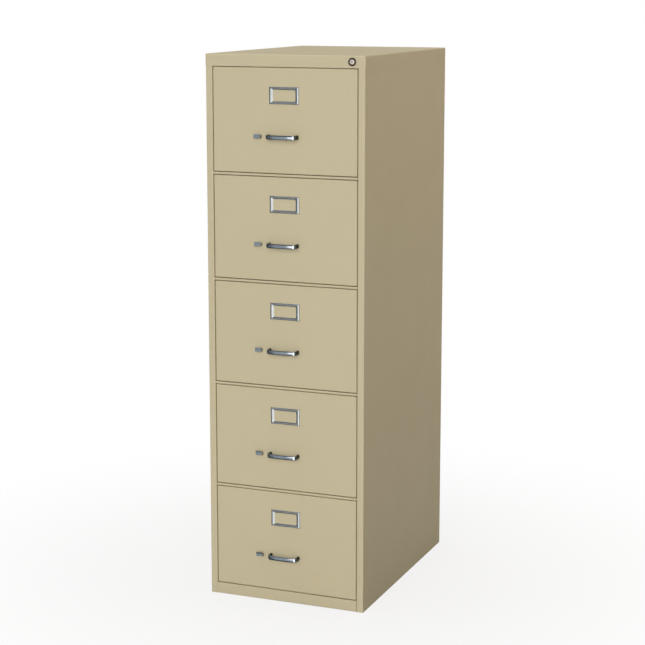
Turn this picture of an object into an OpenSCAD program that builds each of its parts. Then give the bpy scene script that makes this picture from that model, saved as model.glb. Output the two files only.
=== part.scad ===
// Vertical filing cabinet: a folded sheet case with full-width drawers on three-member slides,
// a thumb latch on each drawer and one key lock that lifts a bar in front of every drawer.
// The origin is on the floor, at the middle of the overall box. The fronts face -Y.
// Inside the modules, Y is measured back from the plane of the drawer fronts.

/* [Case] */
// Width across the side panels
case_w = 461.6; // [380:0.1:560]
// Depth from the plane of the fronts to the back
case_d = 673.1; // [500:0.1:820]
// Height from the floor to the top
case_h = 1524; // [1250:1:1850]
// Number of drawers
drawer_count = 5; // [2:1:5]
// Sheet of the side panels, rails and base
case_sheet = 1.2; // [0.8:0.1:1.5]
// Sheet of the top cap, which laps over the side panels
cap_sheet = 1; // [0.8:0.1:1.5]
// Sheet of the back panel
back_sheet = 1; // [0.8:0.1:1.5]
// Height of the header and of the cap's skirt
header_h = 33; // [30:0.5:60]
// Height of the base rail
base_h = 32; // [28:0.5:60]
// Width of a stile's face
stile_w = 19.8; // [18:0.1:30]
// Depth of a stile's inner return
stile_return = 22; // [20:0.5:24]
// Height of a cross rail's face
rail_h = 6.5; // [5:0.1:12]
// Depth of a cross rail
rail_d = 18; // [12:0.5:20]
// How far the back panel is set in
back_recess = 3.2; // [2.5:0.1:6]
// Width of the flanges that carry the back panel
back_flange = 18; // [12:0.5:24]

/* [Base] */
// Width of the base frame's bottom flanges
base_flange = 14; // [8:0.5:20]
// Side length of a corner plate
corner_plate = 60; // [50:1:80]
// Height of the corner plates above the floor
corner_rise = 20; // [18:0.5:24]
// Radius of a glide's foot
glide_foot_r = 12; // [9:0.5:15]
// Thickness of a glide's foot
glide_foot_h = 5; // [3:0.5:8]
// Radius of a glide's stud
glide_stud_r = 4; // [3:0.5:5]

/* [Drawers] */
// Gap all round a drawer front
front_gap = 1.6; // [1:0.1:3]
// Depth of a drawer front
front_d = 20; // [16:0.5:22]
// Sheet of the drawer front and body
drawer_sheet = 1; // [0.8:0.1:1.4]
// Sheet of the liner that closes a drawer front
liner_sheet = 0.8; // [0.6:0.1:1.2]
// Clearance around the liner
liner_gap = 0.2; // [0.1:0.1:0.5]
// Height of the drawer's floor above the lower edge of its front
floor_rise = 14; // [12:0.5:20]
// Drop from the upper edge of the front to the top of the drawer sides
side_drop = 24; // [16:0.5:60]
// Drop from the top of the drawer sides to the top of its back
back_drop = 40; // [0:1:120]
// Width of the hem along the top of a drawer side
hem_w = 6; // [4:0.5:10]
// Height of that hem's lip
hem_h = 9; // [5:0.5:14]
// Width of the flanges that carry the liner
front_flange = 13; // [8:0.5:20]
// Room behind the drawers
rear_room = 26; // [24:1:50]

/* [Slides] */
// Room between a drawer side and the edge of the opening
slide_room = 15; // [14:0.1:18]
// Sheet of the slide members
slide_sheet = 1.4; // [1:0.1:1.6]
// Running clearance between slide members
slide_gap = 0.35; // [0.3:0.05:0.6]
// Height of the case channels
slide_h = 46; // [36:1:52]
// Height of the slides' centre line above the drawer floor
slide_rise = 27; // [26:0.5:40]
// Start of the slides behind the fronts
slide_y = 29; // [29:0.5:40]
// Drop from a cradle's channels to its cross tie's underside
tie_drop = 14.75; // [14:0.25:16]
// Width of the cross tie
tie_w = 20; // [12:1:40]
// Width of the upright posts that carry the slides
post_w = 40; // [25:1:60]

/* [Handle] */
// Width across a handle's feet
handle_w = 90; // [80:1:160]
// Width of its front bar
handle_bar_w = 87; // [70:1:150]
// Height of the handle
handle_h = 12.5; // [10:0.5:20]
// How far the handle stands out
handle_out = 26; // [22:0.5:40]
// Thickness of the front bar
handle_bar_t = 4; // [3:0.5:6]
// Thickness of a leg at its foot
handle_leg_t = 8; // [7:0.5:12]
// Radius of the outer bends
handle_bend = 9; // [6:0.5:12]
// Drop from the upper edge of the front to the handle's centre
handle_drop = 184.5; // [120:0.5:190]
// Sideways place of the handle's centre
handle_x = -3; // [-20:0.5:20]
// Radius of the handle's screws
handle_screw_r = 1.9; // [1.5:0.1:2.5]

/* [Label holder] */
// Width of the frame
label_w = 86.8; // [70:0.1:120]
// Height of the frame
label_h = 47; // [36:0.1:60]
// Width of the window
label_window_w = 66; // [50:0.1:90]
// Height of the window
label_window_h = 30.6; // [20:0.1:40]
// Thickness of the frame
label_t = 2.6; // [2:0.1:4]
// Depth of the pocket that takes the card
card_t = 1; // [0.6:0.1:1.2]
// Drop from the upper edge of the front to the frame's centre
label_drop = 74.2; // [50:0.1:100]

/* [Thumb latch] */
// Width of the button
button_w = 17.7; // [12:0.1:24]
// Height of the button
button_h = 13.2; // [10:0.1:16]
// How far the button stands out
button_out = 8; // [5:0.5:12]
// Sideways place of the button's centre
button_x = -78.1; // [-100:0.1:-75]
// Travel of the latch
latch_travel = 7.5; // [5:0.5:8]
// Height of the latch bar
latch_h = 12; // [9:0.5:16]
// Thickness of the latch bar
latch_t = 2; // [1.5:0.1:3]
// Place of the latch bar behind the fronts
latch_y = 5; // [4:0.5:8]
// Clearance around the latch
latch_gap = 0.4; // [0.3:0.1:0.8]
// Drop from the upper edge of the front to the latch's centre
latch_drop = 185.2; // [120:0.1:190]

/* [Lock] */
// Distance from the side of the case to the lock's centre
lock_side = 36.05; // [34:0.05:44]
// Radius of the lock's bezel
bezel_r = 11; // [10:0.5:12]
// How far the bezel stands out
bezel_out = 3.5; // [2:0.5:6]
// Radius of the lock's barrel
barrel_r = 9; // [8.5:0.5:9.5]
// Depth of the barrel behind the fronts
barrel_l = 20; // [14:0.5:20]
// Radius of the key plug
plug_r = 6.5; // [5:0.5:7]
// Running clearance around the plug
plug_gap = 0.06; // [0.02:0.01:0.1]
// Radius at which the cam's pin turns
cam_r = 9; // [7:0.5:9]
// Radius of that pin
cam_pin_r = 2; // [1.5:0.1:2.4]
// Width of the lock bar
bar_w = 12; // [10:0.5:12]
// Thickness of the lock bar
bar_t = 2; // [1.5:0.1:2.4]
// Clearance between the bar and what guides it
bar_gap = 0.4; // [0.3:0.1:0.6]
// Height of a lug on the bar
lug_h = 16; // [14:0.5:24]
// Drop from the upper edge of the front to the top of its catch
catch_drop = 46; // [40:1:80]
// Room between a lowered lug and the catch above it
lug_clear = 1.5; // [1:0.1:3]

/* [Follower] */
// Width of the follower's plate
follower_w = 300; // [150:1:340]
// Sheet of the follower
follower_sheet = 1.2; // [1:0.1:2]
// Drop from the top of the drawer sides to the top of the plate
follower_drop = 45; // [20:1:90]
// Length of the shoe that rides on the drawer's track
shoe_l = 56; // [40:1:80]
// Width of the track's head
track_w = 14; // [10:0.5:20]
// Clearance between the shoe and the track
shoe_gap = 0.3; // [0.2:0.05:0.6]

/* [Hidden] */
$fn = 64;
CASE_NODES = [
    "left_side_panel", "right_side_panel", "back_panel", "top_cap", "base_frame", "cross_rails",
    "slide_posts", "case_slides", "lock_housing", "lock_plug", "lock_bar", "lock_bar_lugs",
    "lock_bar_guides", "leveling_glides", "case_screws"
];
DRAWER_PIECES = [
    "front_panel", "front_liner", "body", "handle", "label_holder", "latch", "follower",
    "runners", "cradle"
];

paint = [0.75, 0.70, 0.58];
inner_paint = [0.70, 0.66, 0.55];
chrome = [0.78, 0.80, 0.82];
zinc = [0.66, 0.68, 0.70];
black_rubber = [0.12, 0.12, 0.12];

// Extra length that carries a cut right through a face
through = 1;

// Case planes: X from the centre line, Y from the plane of the fronts, Z from the floor
front_y = -(case_d - handle_out) / 2;
side_face_x = case_w / 2;
wall_x = side_face_x - case_sheet;
open_x = side_face_x - stile_w;
cap_x = side_face_x + cap_sheet;
skirt_z = case_h - header_h;
top_z = case_h - cap_sheet;
back_face_y = case_d - back_recess;
back_in_y = back_face_y - back_sheet;

// Drawer fronts, counted from the top
front_x = open_x - front_gap;
front_h = (skirt_z - base_h - (drawer_count - 1) * rail_h) / drawer_count - 2 * front_gap;
pitch = front_h + 2 * front_gap + rail_h;

function drawer_node(n, piece) = str("drawer_", n, "_", piece);
function front_top(n) = skirt_z - front_gap - (n - 1) * pitch;
function front_bottom(n) = front_top(n) - front_h;
function floor_z(n) = front_bottom(n) + floor_rise;
function side_top(n) = front_top(n) - side_drop;
function slide_z(n) = floor_z(n) + slide_rise;
function catch_top(n) = front_top(n) - catch_drop;
function lug_low(n) = catch_top(n) - catch_h - lug_clear - lug_h;
function latch_z(n) = front_top(n) - latch_drop;

// Drawer body
side_x = open_x - slide_room;
body_rear = case_d - rear_room;

// Slide members, nested from the case inwards
slide_l = body_rear - slide_y;
case_half = slide_h / 2;
cradle_half = case_half - slide_sheet - slide_gap;
runner_half = cradle_half - slide_sheet - slide_gap;
cradle_web_x = open_x - slide_sheet - slide_gap;
runner_tip_x = cradle_web_x - slide_sheet - slide_gap;
cradle_tip_x = side_x + 2;
ear_t = 1.4;
case_tip_x = cradle_tip_x + ear_t + 1.2;
post_inset = 16;
post_rear_inset = 20;

// Thumb latch
stem_w = 8;
stem_h = 8;
stem_x = button_x + button_w / 2 - stem_w - 0.8;
nose_h = 8;
nose_gap = 0.5;
nose_step = 9;
screw_depth = 9;
guide_sheet = 1.2;
guide_w = 12;
latch_guides = [0.25, 0.8];
screw_x = (handle_w - handle_leg_t) / 2;

// Lock
lock_x = side_face_x - lock_side;
lock_z = case_h - header_h / 2;
nut_t = 3;
nut_r = 12;
cam_t = 2;
cam_y = barrel_l + 0.4;
half_turn = 45;
bar_y = stile_return + 2;
bar_x = open_x + case_sheet + 1.8;
lug_tip_x = side_x + 3;
arm_wall = 3;
pin_z = lock_z - cam_r * sin(half_turn);
slot_half = cam_pin_r + bar_gap;
arm_half = slot_half + arm_wall;
catch_w = 12;
catch_h = 14;
catch_t = 2;
catch_gap = 0.6;
catch_foot = 28;
guide_h = 10;
guide_rise = 20;

// Follower and its track
track_stem_w = 8;
track_stem_h = 3;
track_head_h = 2;
shoe_wall = 2;
follower_rear = 66;
follower_lip = 12;

// Feet and screws
glide_inset = 34;
stud_top = 30;
glide_nut_r = 7.5;
glide_nut_h = 5;
screw_head_r = 4.5;
screw_head_h = 2;
label_prong_x = 39.5;

// Puts what is measured from the plane of the fronts in its place
module from_front() {
    translate([0, front_y, 0])
        children();
}

// A square block between its low and its high corner
module block(low, high) {
    translate(low)
        cube(high - low);
}

// The same on the right and on the left
module both_sides() {
    children();
    mirror([1, 0, 0])
        children();
}

// Turns what is built along Z to lie along Y
module along_y() {
    rotate([-90, 0, 0])
        children();
}

// The arc that rounds the corner at b on the way from a to c
function corner(a, b, c, r, steps = 10) =
    let (
        u = (a - b) / norm(a - b),
        v = (c - b) / norm(c - b),
        half = acos(u * v) / 2,
        centre = b + (u + v) / norm(u + v) * r / sin(half),
        start = b + u * r / tan(half) - centre,
        end = b + v * r / tan(half) - centre,
        first = atan2(start[1], start[0]),
        turn = (atan2(end[1], end[0]) - first + 540) % 360 - 180
    )
    [for (i = [0 : steps]) centre + r * [cos(first + turn * i / steps), sin(first + turn * i / steps)]];

// A right-hand channel along Y, with its web at web_x and its flanges reaching to tip_x
module channel(web_x, tip_x, half_h) {
    turn = sign(tip_x - web_x);
    low_x = min(web_x, tip_x);
    high_x = max(web_x, tip_x);
    inner_half = half_h - slide_sheet;
    difference() {
        block([low_x, slide_y, -half_h], [high_x, slide_y + slide_l, half_h]);
        translate([turn * slide_sheet, 0, 0])
            block(
                [low_x, slide_y - through, -inner_half],
                [high_x, slide_y + slide_l + through, inner_half]
            );
    }
}

// The right-hand side panel with its folded stile and the flange that carries the back panel
module side_panel() {
    block([wall_x, 0, 0], [side_face_x, case_d, skirt_z]);
    block([wall_x, cap_sheet, 0], [side_face_x, case_d - cap_sheet, top_z]);
    block([open_x, 0, 0], [side_face_x, case_sheet, skirt_z]);
    block([open_x, 0, 0], [open_x + case_sheet, stile_return, skirt_z]);
    block([wall_x - back_flange, back_in_y - case_sheet, base_h], [side_face_x, back_in_y, skirt_z]);
}

module right_side_panel() {
    color(paint)
        from_front()
            side_panel();
}

// The left panel also has a strike slot in its stile for each drawer's latch
module left_side_panel() {
    slot_half = nose_h / 2 + 3 * latch_gap;
    color(paint)
        from_front()
            difference() {
                mirror([1, 0, 0])
                    side_panel();
                for (n = [1 : drawer_count])
                    block(
                        [-open_x - case_sheet - through, latch_y - 3 * latch_gap, latch_z(n) - slot_half],
                        [-open_x + through, latch_y + latch_t + 3 * latch_gap, latch_z(n) + slot_half]
                    );
            }
}

module back_panel() {
    color(paint)
        from_front()
            block([-wall_x, back_in_y, 0], [wall_x, back_face_y, top_z]);
}

// The cap is a pan turned upside down, and its front skirt is the header
module top_cap() {
    color(paint)
        from_front()
            difference() {
                union() {
                    difference() {
                        block([-cap_x, 0, skirt_z], [cap_x, case_d, case_h]);
                        block(
                            [-side_face_x, cap_sheet, skirt_z - through],
                            [side_face_x, case_d - cap_sheet, top_z]
                        );
                    }
                    block([-open_x, 0, skirt_z], [open_x, rail_d, skirt_z + cap_sheet]);
                }
                translate([lock_x, -through, lock_z])
                    along_y()
                        cylinder(r = barrel_r + 0.1, h = cap_sheet + 2 * through);
            }
}

// A front rail of channel section, open to the rear
module rail(z, h) {
    difference() {
        block([-open_x, 0, z], [open_x, rail_d, z + h]);
        block(
            [-open_x - through, case_sheet, z + case_sheet],
            [open_x + through, rail_d + through, z + h - case_sheet]
        );
    }
}

module cross_rails() {
    color(paint)
        from_front()
            for (n = [1 : drawer_count - 1])
                rail(front_bottom(n) - front_gap - rail_h, rail_h);
}

// One side rail of the base, with its bottom flange turned in
module base_side_rail() {
    rail_start = stile_return + front_gap;
    block([wall_x - case_sheet, rail_start, 0], [wall_x, back_in_y, base_h]);
    block([wall_x - base_flange, rail_start, 0], [wall_x, back_in_y, case_sheet]);
}

// Corner plates tie the rails together and hold the levelling glides
module base_corner_plates() {
    inner_x = wall_x - corner_plate;
    rail_start = stile_return + front_gap;
    block([inner_x, 0, corner_rise], [open_x, rail_start, corner_rise + case_sheet]);
    block([inner_x, rail_start, corner_rise], [wall_x, corner_plate, corner_rise + case_sheet]);
    block(
        [inner_x, back_in_y - corner_plate, corner_rise],
        [wall_x, back_in_y, corner_rise + case_sheet]
    );
}

// Where the levelling glides stand
module at_glides() {
    for (x = [-1, 1])
        for (y = [glide_inset, back_in_y - glide_inset])
            translate([x * (wall_x - glide_inset), y, 0])
                children();
}

module base_frame() {
    color(paint)
        from_front()
            difference() {
                union() {
                    rail(0, base_h);
                    both_sides() {
                        base_side_rail();
                        base_corner_plates();
                    }
                    block([-wall_x, back_in_y - case_sheet, 0], [wall_x, back_in_y, base_h]);
                    block([-wall_x, back_in_y - base_flange, 0], [wall_x, back_in_y, case_sheet]);
                }
                at_glides()
                    translate([0, 0, corner_rise - through])
                        cylinder(r = glide_stud_r + 0.2, h = case_sheet + 2 * through);
            }
}

// Each glide is a foot on a stud, with a nut below the corner plate
module leveling_glides() {
    color(zinc)
        from_front()
            at_glides() {
                cylinder(r = glide_foot_r, h = glide_foot_h);
                cylinder(r = glide_stud_r, h = stud_top);
                translate([0, 0, corner_rise - glide_nut_h])
                    cylinder(r = glide_nut_r, h = glide_nut_h, $fn = 6);
            }
}

// One upright post between the side panel and the case channels
module slide_post(y) {
    difference() {
        block([open_x, y, base_h], [wall_x, y + post_w, skirt_z]);
        block(
            [open_x + slide_sheet, y + slide_sheet, base_h - through],
            [wall_x + through, y + post_w - slide_sheet, skirt_z + through]
        );
    }
}

module slide_posts() {
    color(zinc)
        from_front()
            both_sides() {
                slide_post(slide_y + post_inset);
                slide_post(slide_y + slide_l - post_rear_inset - post_w);
            }
}

// The fixed channels, each with a stop behind its drawer
module case_slides() {
    stop_y = slide_y + slide_l + slide_gap;
    color(zinc)
        from_front()
            for (n = [1 : drawer_count])
                translate([0, 0, slide_z(n)])
                    both_sides() {
                        channel(open_x, case_tip_x, case_half);
                        block(
                            [open_x - slide_sheet, slide_y + slide_l - through, -case_half],
                            [open_x, stop_y + slide_sheet, case_half]
                        );
                        block([case_tip_x, stop_y, -case_half], [open_x, stop_y + slide_sheet, case_half]);
                    }
}

module lock_housing() {
    color(chrome)
        from_front()
            translate([lock_x, 0, lock_z])
                along_y()
                    difference() {
                        union() {
                            translate([0, 0, -bezel_out])
                                cylinder(r = bezel_r, h = bezel_out);
                            cylinder(r = barrel_r, h = barrel_l);
                            translate([0, 0, cap_sheet])
                                cylinder(r = nut_r, h = nut_t, $fn = 6);
                        }
                        translate([0, 0, -bezel_out - through])
                            cylinder(r = plug_r + plug_gap, h = bezel_out + barrel_l + 2 * through);
                    }
}

// The plug turns with the key and carries the cam, whose pin lifts the lock bar
module lock_plug() {
    keyway = [1.6, 7.5];
    keyway_depth = 6;
    plug_front = 0.5 - bezel_out;
    color(zinc)
        from_front()
            translate([lock_x, 0, lock_z]) {
                difference() {
                    translate([0, plug_front, 0])
                        along_y()
                            cylinder(r = plug_r, h = cam_y + cam_t - plug_front);
                    block(
                        [-keyway[0] / 2, plug_front - through, -keyway[1] / 2],
                        [keyway[0] / 2, plug_front + keyway_depth, keyway[1] / 2]
                    );
                }
                rotate([0, half_turn, 0]) {
                    block([0, cam_y, -cam_pin_r - 1], [cam_r, cam_y + cam_t, cam_pin_r + 1]);
                    translate([cam_r, cam_y, 0])
                        along_y() {
                            cylinder(r = cam_pin_r + 1, h = cam_t);
                            cylinder(r = cam_pin_r, h = bar_y + bar_t + 1.4 - cam_y);
                        }
                }
            }
}

// The bar stands behind the right stile, and the lock lifts it
module lock_bar() {
    color(zinc)
        from_front()
            block([bar_x, bar_y, lug_low(drawer_count)], [bar_x + bar_w, bar_y + bar_t, pin_z + arm_half]);
}

// Slotted arm that the cam's pin lifts, and a lug below each drawer's catch, all welded to the bar's edge
module lock_bar_lugs() {
    pin_near = lock_x + cam_r * cos(half_turn);
    slot_low_x = pin_near - slot_half;
    slot_high_x = lock_x + cam_r + slot_half;
    color(zinc)
        from_front() {
            difference() {
                block(
                    [slot_low_x - arm_wall, bar_y, pin_z - arm_half],
                    [bar_x, bar_y + bar_t, pin_z + arm_half]
                );
                block(
                    [slot_low_x, bar_y - through, pin_z - slot_half],
                    [slot_high_x, bar_y + bar_t + through, pin_z + slot_half]
                );
            }
            for (n = [1 : drawer_count])
                block([lug_tip_x, bar_y, lug_low(n)], [bar_x, bar_y + bar_t, lug_low(n) + lug_h]);
        }
}

// Slotted blocks on the right side panel, which keep the bar upright
module lock_bar_guides() {
    guide_wall = 1;
    color(black_rubber)
        from_front()
            for (n = [1 : drawer_count])
                difference() {
                    block(
                        [
                            bar_x - bar_gap - guide_wall,
                            bar_y - bar_gap - guide_wall,
                            catch_top(n) + guide_rise
                        ],
                        [wall_x, bar_y + bar_t + bar_gap + guide_wall, catch_top(n) + guide_rise + guide_h]
                    );
                    block(
                        [bar_x - bar_gap, bar_y - bar_gap, catch_top(n) + guide_rise - through],
                        [
                            bar_x + bar_w + bar_gap,
                            bar_y + bar_t + bar_gap,
                            catch_top(n) + guide_rise + guide_h + through
                        ]
                    );
                }
}

// Screws that hold the back panel to the side panels' flanges
module case_screws() {
    rows = 6;
    margin = 60;
    color(zinc)
        from_front()
            for (i = [0 : rows - 1])
                for (x = [-1, 1])
                    translate([
                        x * (wall_x - back_flange / 2),
                        back_face_y,
                        margin + i * (skirt_z - 2 * margin) / (rows - 1)
                    ])
                        along_y()
                            cylinder(r = screw_head_r, h = screw_head_h);
}

// A bridge welded behind the front's skin, which the latch bar slides through
module latch_guide(n, x) {
    inner_half = latch_h / 2 + latch_gap;
    inner_y = latch_y + latch_t + latch_gap;
    difference() {
        block(
            [x, drawer_sheet, latch_z(n) - inner_half - guide_sheet],
            [x + guide_w, inner_y + guide_sheet, latch_z(n) + inner_half + guide_sheet]
        );
        block(
            [x - through, drawer_sheet, latch_z(n) - inner_half],
            [x + guide_w + through, inner_y, latch_z(n) + inner_half]
        );
    }
}

// The drawer front is a pan with its edges turned back
module drawer_front_panel(n) {
    stem_slot = [stem_x - latch_gap, stem_x + stem_w + latch_travel + latch_gap];
    slot_half = stem_h / 2 + latch_gap;
    nose_half = nose_h / 2 + latch_gap;
    color(paint)
        from_front()
            difference() {
                union() {
                    difference() {
                        block([-front_x, 0, front_bottom(n)], [front_x, front_d, front_top(n)]);
                        block(
                            [drawer_sheet - front_x, drawer_sheet, front_bottom(n) + drawer_sheet],
                            [front_x - drawer_sheet, front_d + through, front_top(n) - drawer_sheet]
                        );
                    }
                    for (share = latch_guides)
                        latch_guide(n, stem_x - share * (front_x + stem_x) - guide_w);
                }
                block(
                    [stem_slot[0], -through, latch_z(n) - slot_half],
                    [stem_slot[1], drawer_sheet + through, latch_z(n) + slot_half]
                );
                block(
                    [-front_x - through, latch_y - latch_gap, latch_z(n) - nose_half],
                    [
                        drawer_sheet - front_x + through,
                        latch_y + latch_t + latch_gap,
                        latch_z(n) + nose_half
                    ]
                );
                for (side = [-1, 1]) {
                    translate([handle_x + side * screw_x, -through, front_top(n) - handle_drop])
                        along_y()
                            cylinder(r = handle_screw_r + 0.2, h = drawer_sheet + 2 * through);
                    translate([side * label_prong_x, 0, front_top(n) - label_drop])
                        block([-1.2, -through, -2.2], [1.2, drawer_sheet + through, 2.2]);
                }
            }
}

// The liner closes the back of the front and carries the drawer body
module drawer_front_liner(n) {
    edge = drawer_sheet + liner_gap;
    color(inner_paint)
        from_front()
            block(
                [edge - front_x, front_d - liner_sheet, front_bottom(n) + edge],
                [front_x - edge, front_d, front_top(n) - edge]
            );
}

// A drawer side with its hem and the flange that meets the liner
module drawer_side(n) {
    block([side_x - drawer_sheet, front_d, floor_z(n)], [side_x, body_rear, side_top(n)]);
    block([side_x - hem_w, front_d, side_top(n) - drawer_sheet], [side_x, body_rear, side_top(n)]);
    block(
        [side_x - hem_w, front_d, side_top(n) - hem_h],
        [side_x - hem_w + drawer_sheet, body_rear, side_top(n)]
    );
    block([side_x - front_flange, front_d, floor_z(n)], [side_x, front_d + drawer_sheet, side_top(n)]);
}

// The open tray behind the front, with a track along its floor for the follower
module drawer_body(n) {
    floor_top = floor_z(n) + drawer_sheet;
    color(inner_paint)
        from_front() {
            block([-side_x, front_d, floor_z(n)], [side_x, body_rear, floor_top]);
            both_sides()
                drawer_side(n);
            block(
                [-side_x, body_rear - drawer_sheet, floor_z(n)],
                [side_x, body_rear, side_top(n) - back_drop]
            );
            block(
                [-track_stem_w / 2, front_d, floor_top],
                [track_stem_w / 2, body_rear, floor_top + track_stem_h]
            );
            block(
                [-track_w / 2, front_d, floor_top + track_stem_h],
                [track_w / 2, body_rear, floor_top + track_stem_h + track_head_h]
            );
        }
}

// Outline of the bent handle, seen from above: feet at zero, front bar at -handle_out
function handle_outline() =
    let (
        foot = handle_w / 2,
        bar = handle_bar_w / 2,
        inner_foot = foot - handle_leg_t,
        inner_bar = bar - handle_bar_t,
        inner_y = handle_bar_t - handle_out,
        inner_bend = handle_bend - handle_bar_t
    )
    concat(
        [[-foot, 0]],
        corner([-foot, 0], [-bar, -handle_out], [bar, -handle_out], handle_bend),
        corner([-bar, -handle_out], [bar, -handle_out], [foot, 0], handle_bend),
        [[foot, 0], [inner_foot, 0]],
        corner([inner_foot, 0], [inner_bar, inner_y], [-inner_bar, inner_y], inner_bend),
        corner([inner_bar, inner_y], [-inner_bar, inner_y], [-inner_foot, 0], inner_bend),
        [[-inner_foot, 0]]
    );

// A handle, and the two screws that hold it from inside the front
module drawer_handle(n) {
    color(chrome)
        from_front()
            translate([handle_x, 0, front_top(n) - handle_drop]) {
                difference() {
                    linear_extrude(height = handle_h, center = true)
                        polygon(handle_outline());
                    for (side = [-1, 1])
                        translate([side * screw_x, -screw_depth - through, 0])
                            along_y()
                                cylinder(r = handle_screw_r + 0.1, h = screw_depth + 2 * through);
                }
                for (side = [-1, 1])
                    translate([side * screw_x, 0, 0])
                        along_y() {
                            translate([0, 0, -screw_depth])
                                cylinder(r = handle_screw_r, h = screw_depth + drawer_sheet);
                            translate([0, 0, drawer_sheet])
                                cylinder(r = screw_head_r, h = screw_head_h);
                        }
            }
}

// A frame around the label, with a card pocket that opens upwards and two prongs through the skin
module drawer_label_holder(n) {
    pocket = [label_window_w / 2 + 3, label_window_h / 2 + 3];
    prong_depth = drawer_sheet + 1;
    color(chrome)
        from_front()
            translate([0, 0, front_top(n) - label_drop]) {
                difference() {
                    block([-label_w / 2, -label_t, -label_h / 2], [label_w / 2, 0, label_h / 2]);
                    block(
                        [-label_window_w / 2, -label_t - through, -label_window_h / 2],
                        [label_window_w / 2, through, label_window_h / 2]
                    );
                    block([-pocket[0], -card_t, -pocket[1]], [pocket[0], through, label_h / 2 + through]);
                }
                for (side = [-1, 1])
                    translate([side * label_prong_x, 0, 0])
                        block([-1, -card_t, -2], [1, prong_depth, 2]);
            }
}

// The thumb button, its stem through the skin and the latch bar with its nose
module drawer_latch(n) {
    bar_half = latch_h / 2;
    color(chrome)
        from_front()
            translate([0, 0, latch_z(n)]) {
                block(
                    [button_x - button_w / 2, -button_out, -button_h / 2],
                    [button_x + button_w / 2, -latch_gap, button_h / 2]
                );
                block([stem_x, -latch_gap, -stem_h / 2], [stem_x + stem_w, latch_y, stem_h / 2]);
                block(
                    [nose_step - front_x, latch_y, -bar_half],
                    [stem_x + stem_w, latch_y + latch_t, bar_half]
                );
                block([nose_gap - open_x, latch_y, -nose_h / 2], [stem_x, latch_y + latch_t, nose_h / 2]);
            }
}

// The follower stands on a shoe that rides on the track
module drawer_follower(n) {
    floor_top = floor_z(n) + drawer_sheet;
    head_top = floor_top + track_stem_h + track_head_h;
    shoe_top = head_top + shoe_gap + shoe_wall;
    shoe_low = floor_top + 1;
    plate_y = body_rear - follower_rear;
    plate_top = side_top(n) - follower_drop;
    half_track = track_w / 2 + shoe_gap;
    gusset = 40;
    color(zinc)
        from_front() {
            difference() {
                block(
                    [-half_track - shoe_wall, plate_y, shoe_low],
                    [half_track + shoe_wall, plate_y + shoe_l, shoe_top]
                );
                block(
                    [-half_track, plate_y - through, floor_top + track_stem_h - shoe_gap],
                    [half_track, plate_y + shoe_l + through, head_top + shoe_gap]
                );
                block(
                    [-track_stem_w / 2 - shoe_gap, plate_y - through, shoe_low - through],
                    [track_stem_w / 2 + shoe_gap, plate_y + shoe_l + through, head_top]
                );
            }
            block(
                [-follower_w / 2, plate_y, shoe_top],
                [follower_w / 2, plate_y + follower_sheet, plate_top]
            );
            both_sides() {
                block(
                    [follower_w / 2 - follower_sheet, plate_y, shoe_top],
                    [follower_w / 2, plate_y + follower_lip, plate_top]
                );
                translate([half_track, plate_y, shoe_top])
                    rotate([90, 0, 90])
                        linear_extrude(height = follower_sheet)
                            polygon([[0, 0], [gusset, 0], [0, 2 * gusset]]);
            }
        }
}

// The runners on the drawer's sides, and the catch that the lock bar's lug stops
module drawer_runners(n) {
    catch_y = bar_y + bar_t + catch_gap;
    catch_low = catch_top(n) - catch_h;
    color(zinc)
        from_front() {
            translate([0, 0, slide_z(n)])
                both_sides()
                    channel(side_x, runner_tip_x, runner_half);
            block([side_x, catch_y, catch_low], [side_x + catch_w, catch_y + catch_t, catch_top(n)]);
            block([side_x, catch_y, catch_low], [side_x + catch_t, catch_y + catch_foot, catch_top(n)]);
        }
}

// The cradle: a middle channel on each side, joined by a tie that passes under the drawer
module drawer_cradle(n) {
    tie_y = body_rear - 2 * tie_w;
    tie_z = -cradle_half - tie_drop;
    color(zinc)
        from_front()
            translate([0, 0, slide_z(n)]) {
                both_sides() {
                    channel(cradle_web_x, cradle_tip_x, cradle_half);
                    block(
                        [cradle_tip_x, tie_y, tie_z],
                        [cradle_tip_x + ear_t, tie_y + tie_w, slide_sheet - cradle_half]
                    );
                }
                block(
                    [-cradle_tip_x - ear_t, tie_y, tie_z],
                    [cradle_tip_x + ear_t, tie_y + tie_w, tie_z + slide_sheet]
                );
            }
}

left_side_panel();
right_side_panel();
back_panel();
top_cap();
base_frame();
cross_rails();
slide_posts();
case_slides();
lock_housing();
lock_plug();
lock_bar();
lock_bar_lugs();
lock_bar_guides();
leveling_glides();
case_screws();
for (n = [1 : drawer_count]) {
    drawer_front_panel(n);
    drawer_front_liner(n);
    drawer_body(n);
    drawer_handle(n);
    drawer_label_holder(n);
    drawer_latch(n);
    drawer_follower(n);
    drawer_runners(n);
    drawer_cradle(n);
}
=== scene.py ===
"""Folded sheet-metal shells, fittings and finishes for a vertical filing cabinet, built on its frame."""

import itertools
import logging
import math
from dataclasses import dataclass, field
from enum import Enum
from typing import Callable, Iterable, Sequence

import bmesh
import bpy
from mathutils import Matrix, Vector


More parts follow.
